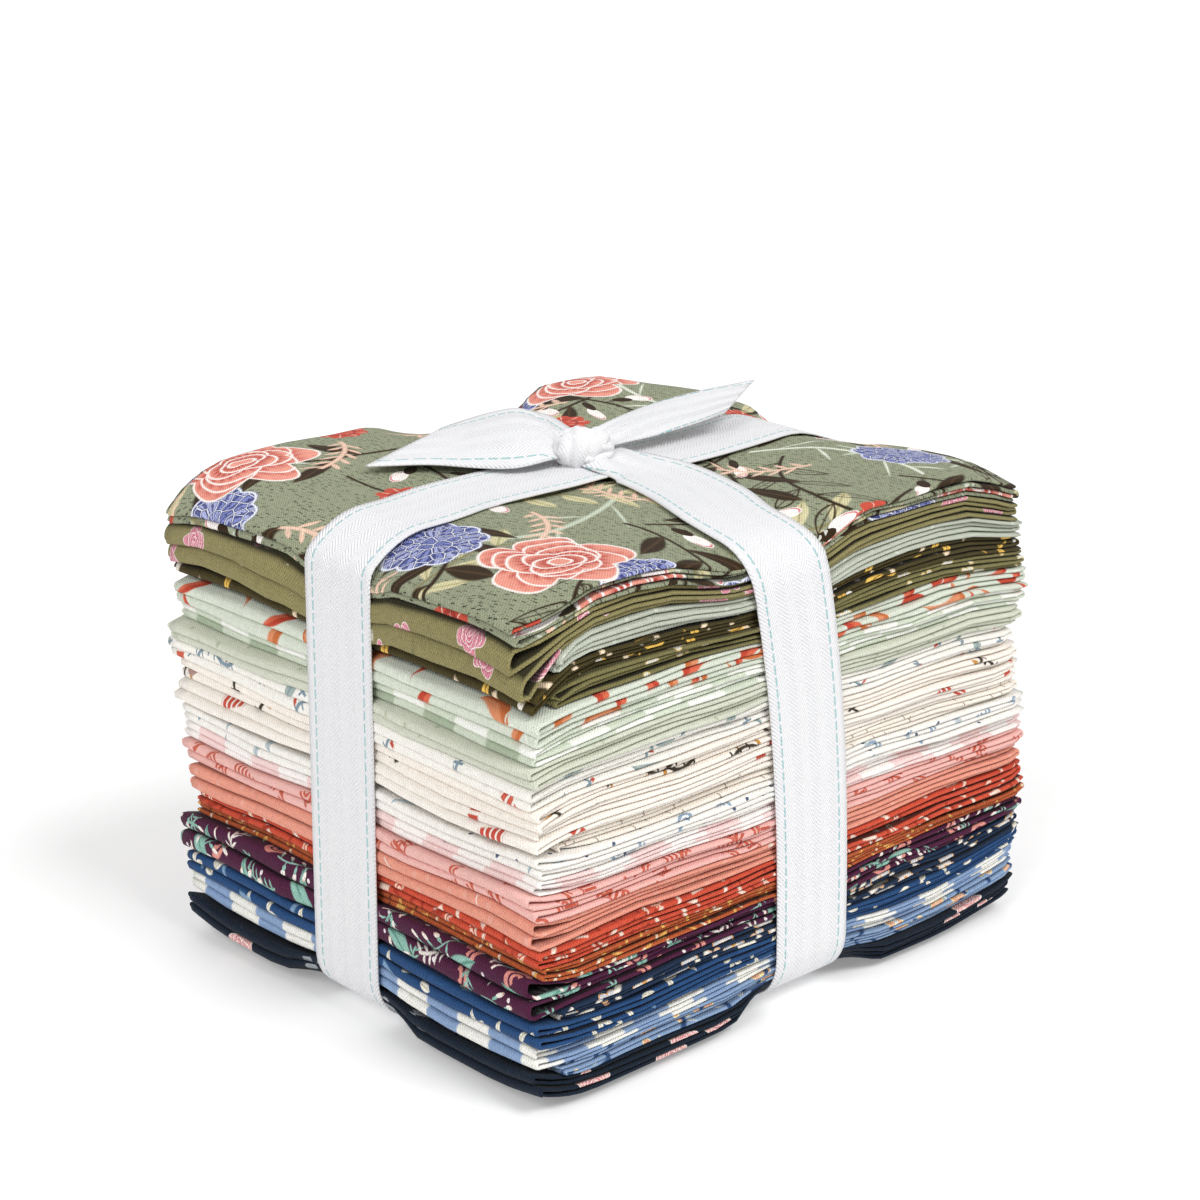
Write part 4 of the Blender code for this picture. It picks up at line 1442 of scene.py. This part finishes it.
# Places along each tail, from the knot out: X, Y and Z of its front and of its back edge
LEFT_TAIL = (
    (-5.0, 4.2, 106.6, -3.0, 7.6, 109.4),
    (-11.5, 3.4, 107.2, -1.5, 16.0, 112.0),
    (-18.3, 6.2, 106.5, -1.0, 24.5, 112.4),
    (-23.0, 13.0, 106.1, -3.0, 31.0, 110.7),
    (-29.0, 21.6, 106.1, -6.5, 36.0, 108.6),
    (-39.8, 28.6, 106.3, -10.0, 38.2, 107.4),
)
RIGHT_TAIL = (
    (2.0, 1.3, 107.6, 3.6, 7.4, 109.4),
    (8.0, 0.8, 108.0, 10.5, 9.5, 110.0),
    (15.0, 0.0, 108.3, 20.0, 11.8, 110.4),
    (23.0, -0.5, 108.8, 30.0, 12.6, 110.9),
    (30.0, -0.9, 109.4, 40.5, 10.4, 111.9),
    (35.5, -1.2, 110.0, 52.2, 6.4, 112.9),
)
LEFT_CAMBER = 1.6
RIGHT_CAMBER = 0.8
TAIL_STEPS = 34
TAIL_PLEAT = 0.8
TAIL_PLEAT_LENGTH = 0.16
TAIL_PLEATS = 3
TAIL_ARCH_TURN = 1.4


def add_tail(tape, rows, camber, start):
    """A free end, between its front and its back edge, arched across and pleated at the knot."""
    front = curve_through([row[:3] for row in rows], TAIL_STEPS)
    back = curve_through([row[3:] for row in rows], TAIL_STEPS)
    share = (ACROSS + 1.0) / 2
    grid = front[:, None, :] + (back - front)[:, None, :] * share[None, :, None]
    along = np.linspace(0.0, 1.0, TAIL_STEPS)
    arch = camber * np.sin(math.pi * np.minimum(along * TAIL_ARCH_TURN, 1.0))
    pleat = TAIL_PLEAT * np.exp(-along / TAIL_PLEAT_LENGTH)
    grid[:, :, 2] += arch[:, None] * (1.0 - ACROSS**2)[None, :]
    grid[:, :, 2] += pleat[:, None] * np.cos(TAIL_PLEATS * math.pi * (ACROSS + 1.0))[None, :]
    return tape.strip(grid, start)


KNOT_AXIS = np.array((0.736, -0.676, 0.0))
KNOT_SIDE = np.array((0.676, 0.736, 0.0))
KNOT_UP = np.array((0.0, 0.0, 1.0))
CORE_RADII = (6.4, 4.0, 3.9)
CORE_SHIFT = 1.2
WRAP_RADII = (4.7, 4.4)
WRAP_TURN = (-1.1, 5.0)
WRAP_EDGES = (-4.4, 4.8)
WRAP_TUCK = 0.42
WRAP_CREASES = (0.34, 0.16)


def knot_point(along, side, up):
    return KNOT + along * KNOT_AXIS + side * KNOT_SIDE + up * KNOT_UP


def core_point(turn, share):
    """A point of the cloth gathered into a lump."""
    angle = math.pi * share
    folds = 0.14 * math.sin(6 * turn + 1.3 * math.sin(2 * angle)) + 0.07 * math.sin(11 * turn + 2.0)
    wide = math.sin(angle) ** 0.8 * (1.0 + folds)
    side, up = CORE_RADII[1] * wide * math.cos(turn), CORE_RADII[2] * wide * math.sin(turn)
    return knot_point(CORE_SHIFT - CORE_RADII[0] * math.cos(angle), side, up)


def wrap_point(turn, share):
    """A point of the one turn of ribbon over the lump, wider below than on top."""
    up = math.sin(turn)
    left = WRAP_EDGES[0] + (0.9 * up if up > 0 else -2.0 * up)
    right = WRAP_EDGES[1] + (2.0 * up if up > 0 else 2.4 * up)
    tuck = 1.0 - WRAP_TUCK * abs(2 * share - 1) ** 3
    long_crease = 2.3 * share + 0.22 * math.sin(1.3 * turn + 0.6)
    crease = WRAP_CREASES[0] * math.cos(2 * math.pi * long_crease)
    crease += WRAP_CREASES[1] * math.cos(2 * math.pi * (4.7 * share - 0.3 * turn))
    side, height = ((radius * tuck + crease) for radius in WRAP_RADII)
    return knot_point(mix(left, right, share), side * math.cos(turn), height * up)


def add_knot(tape, start):
    """The tie: cloth gathered into a lump, and one turn of the ribbon over it."""
    for point, turns, shares in (
        (core_point, np.linspace(2 * math.pi, 0.0, 49), np.linspace(0.03, 0.97, 25)),
        (wrap_point, np.linspace(*WRAP_TURN, 61), np.linspace(0.0, 1.0, 21)),
    ):
        grid = np.array([[point(turn, share) for share in shares] for turn in turns])
        start = tape.strip(grid, start)
    return start


RIBBON_WHITE = "ececee"
STITCH_TEAL = "8fc8ca"
ZIGZAG_WIDTH = 5.1
ZIGZAG_SLOPE = 1.1
RIB_PITCH = 0.95
STITCH_PLACE = 7.9
STITCH_HALF_WIDTH = 0.20
STITCH_PITCH = 2.7
STITCH_SHARE = 0.72
STITCH_COVER = 0.85
STITCH_HEIGHT = 2.0
RIB_TONE = 0.042
KNOT_FLATNESS = 0.5
TAPE_SLUB_SCALE = 2.4
TAPE_SLUB_TONE = 0.09
TAPE_SLUB_HEIGHT = 1.5
TAPE_TONE = 0.985


def ribbon_material(knot_start, knot_end):
    """White twill tape with a teal running stitch inside each edge. Its ribs are drawn flatter in
    the knot, which lies between these two places along the tape."""
    material, tree = new_material("ribbon")
    cloth = attribute(tree, "cloth")["Vector"]
    x, y, _ = parts_of(cloth)
    paint = Paint(tree, RIBBON_WHITE)
    zigzag = abs((x * (1.0 / ZIGZAG_WIDTH)).fraction() - 0.5) * ZIGZAG_WIDTH
    ribs = ((y + zigzag * ZIGZAG_SLOPE) * (2 * math.pi / RIB_PITCH)).sin()
    ribs = ribs * (1.0 - y.above(knot_start) * y.below(knot_end) * KNOT_FLATNESS)
    slubs = noise(cloth, TAPE_SLUB_SCALE) - 0.5
    paint.shade(TAPE_TONE + ribs * RIB_TONE + slubs * TAPE_SLUB_TONE)
    stitch = line(abs(x) - STITCH_PLACE, STITCH_HALF_WIDTH).inside(0.12)
    stitch = stitch * ((y * (1.0 / STITCH_PITCH)).fraction() - STITCH_SHARE).inside(0.04)
    paint.over(stitch * STITCH_COVER, STITCH_TEAL)
    height = ribs + slubs * TAPE_SLUB_HEIGHT + stitch * STITCH_HEIGHT
    finish_surface(tree, paint.colour, height, TWILL)
    return material


def add_ribbon():
    tape = Tape()
    used = wind(tape, SHORT_BAND, SHORT_BAND_START, FRONT_GATHER, BACK_GATHER, 0.0)
    knot_start = wind(tape, LONG_BAND, KNOT[0], LEFT_GATHER, RIGHT_GATHER, used)
    knot_end = add_knot(tape, knot_start)
    used = add_tail(tape, LEFT_TAIL, LEFT_CAMBER, knot_end)
    used = add_tail(tape, RIGHT_TAIL, RIGHT_CAMBER, used)
    points, faces, cloth = map(np.concatenate, (tape.points, tape.faces, tape.cloth))
    obj = mesh_from("ribbon_tape", points, faces, cloth)
    obj.data.materials.append(ribbon_material(knot_start, knot_end))
    thicken(obj, RIBBON_CLOTH, 0)
    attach(obj, "root")
    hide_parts("ribbon")
    used * MM


# Studio
CAMERA_PLACE = (-0.3895, -0.4239, 0.2710)
CAMERA_PITCH = math.radians(18.79)
CAMERA_YAW = math.radians(-42.58)
CAMERA_LENS = 85.9
SENSOR_WIDTH = 36.0

# Wide, soft suns: the way that each shines from, its spread in degrees and its strength
SUNS = (
    ("key", (0.10, -0.62, 0.78), 24.0, 1.68),
    ("fill", (-0.72, -0.20, 0.66), 30.0, 1.14),
    ("back", (0.40, 0.80, 0.90), 40.0, 0.32),
)
WHITE = (1.0, 1.0, 1.0, 1.0)
WORLD_STRENGTH = 0.47
FLOOR_HALF = 4.0
FLOOR_WHITENESS = 0.78
FLOOR_GLOW = 0.24
FLOOR_ROUGHNESS = 0.9


def add_studio():
    camera = bpy.data.cameras.new("camera")
    camera.lens = CAMERA_LENS
    camera.sensor_width = SENSOR_WIDTH
    camera.clip_start = 0.01
    obj = add_object("camera", camera)
    obj.location = CAMERA_PLACE
    obj.rotation_euler = (math.pi / 2 - CAMERA_PITCH, 0.0, CAMERA_YAW)
    scene = bpy.context.scene
    scene.camera = obj
    for name, way, spread, strength in SUNS:
        light = bpy.data.lights.new(name, "SUN")
        light.angle = math.radians(spread)
        light.energy = strength
        lamp = add_object(name, light)
        lamp.rotation_euler = Vector(way).to_track_quat("Z", "Y").to_euler()
    scene.world = bpy.data.worlds.new("world")
    scene.world.use_nodes = True
    tree = scene.world.node_tree
    plug_all(tree.nodes["Background"], {"Color": WHITE, "Strength": WORLD_STRENGTH})
    scene.view_settings.view_transform = "Standard"


def add_floor():
    mesh = bpy.data.meshes.new("floor")
    corners = [(x * FLOOR_HALF, y * FLOOR_HALF, 0) for x, y in ((-1, -1), (1, -1), (1, 1), (-1, 1))]
    mesh.from_pydata(corners, [], [(0, 1, 2, 3)])
    floor = add_object("floor", mesh)
    material, tree = new_material("floor")
    inputs = {
        "Base Color": (FLOOR_WHITENESS, FLOOR_WHITENESS, FLOOR_WHITENESS, 1.0),
        "Emission Color": WHITE,
        "Emission Strength": FLOOR_GLOW,
        "Roughness": FLOOR_ROUGHNESS,
    }
    plug_all(tree.nodes["Principled BSDF"], inputs)
    mesh.materials.append(material)


add_studio()
add_floor()
top_cloth = add_cloths()
add_ribbon()
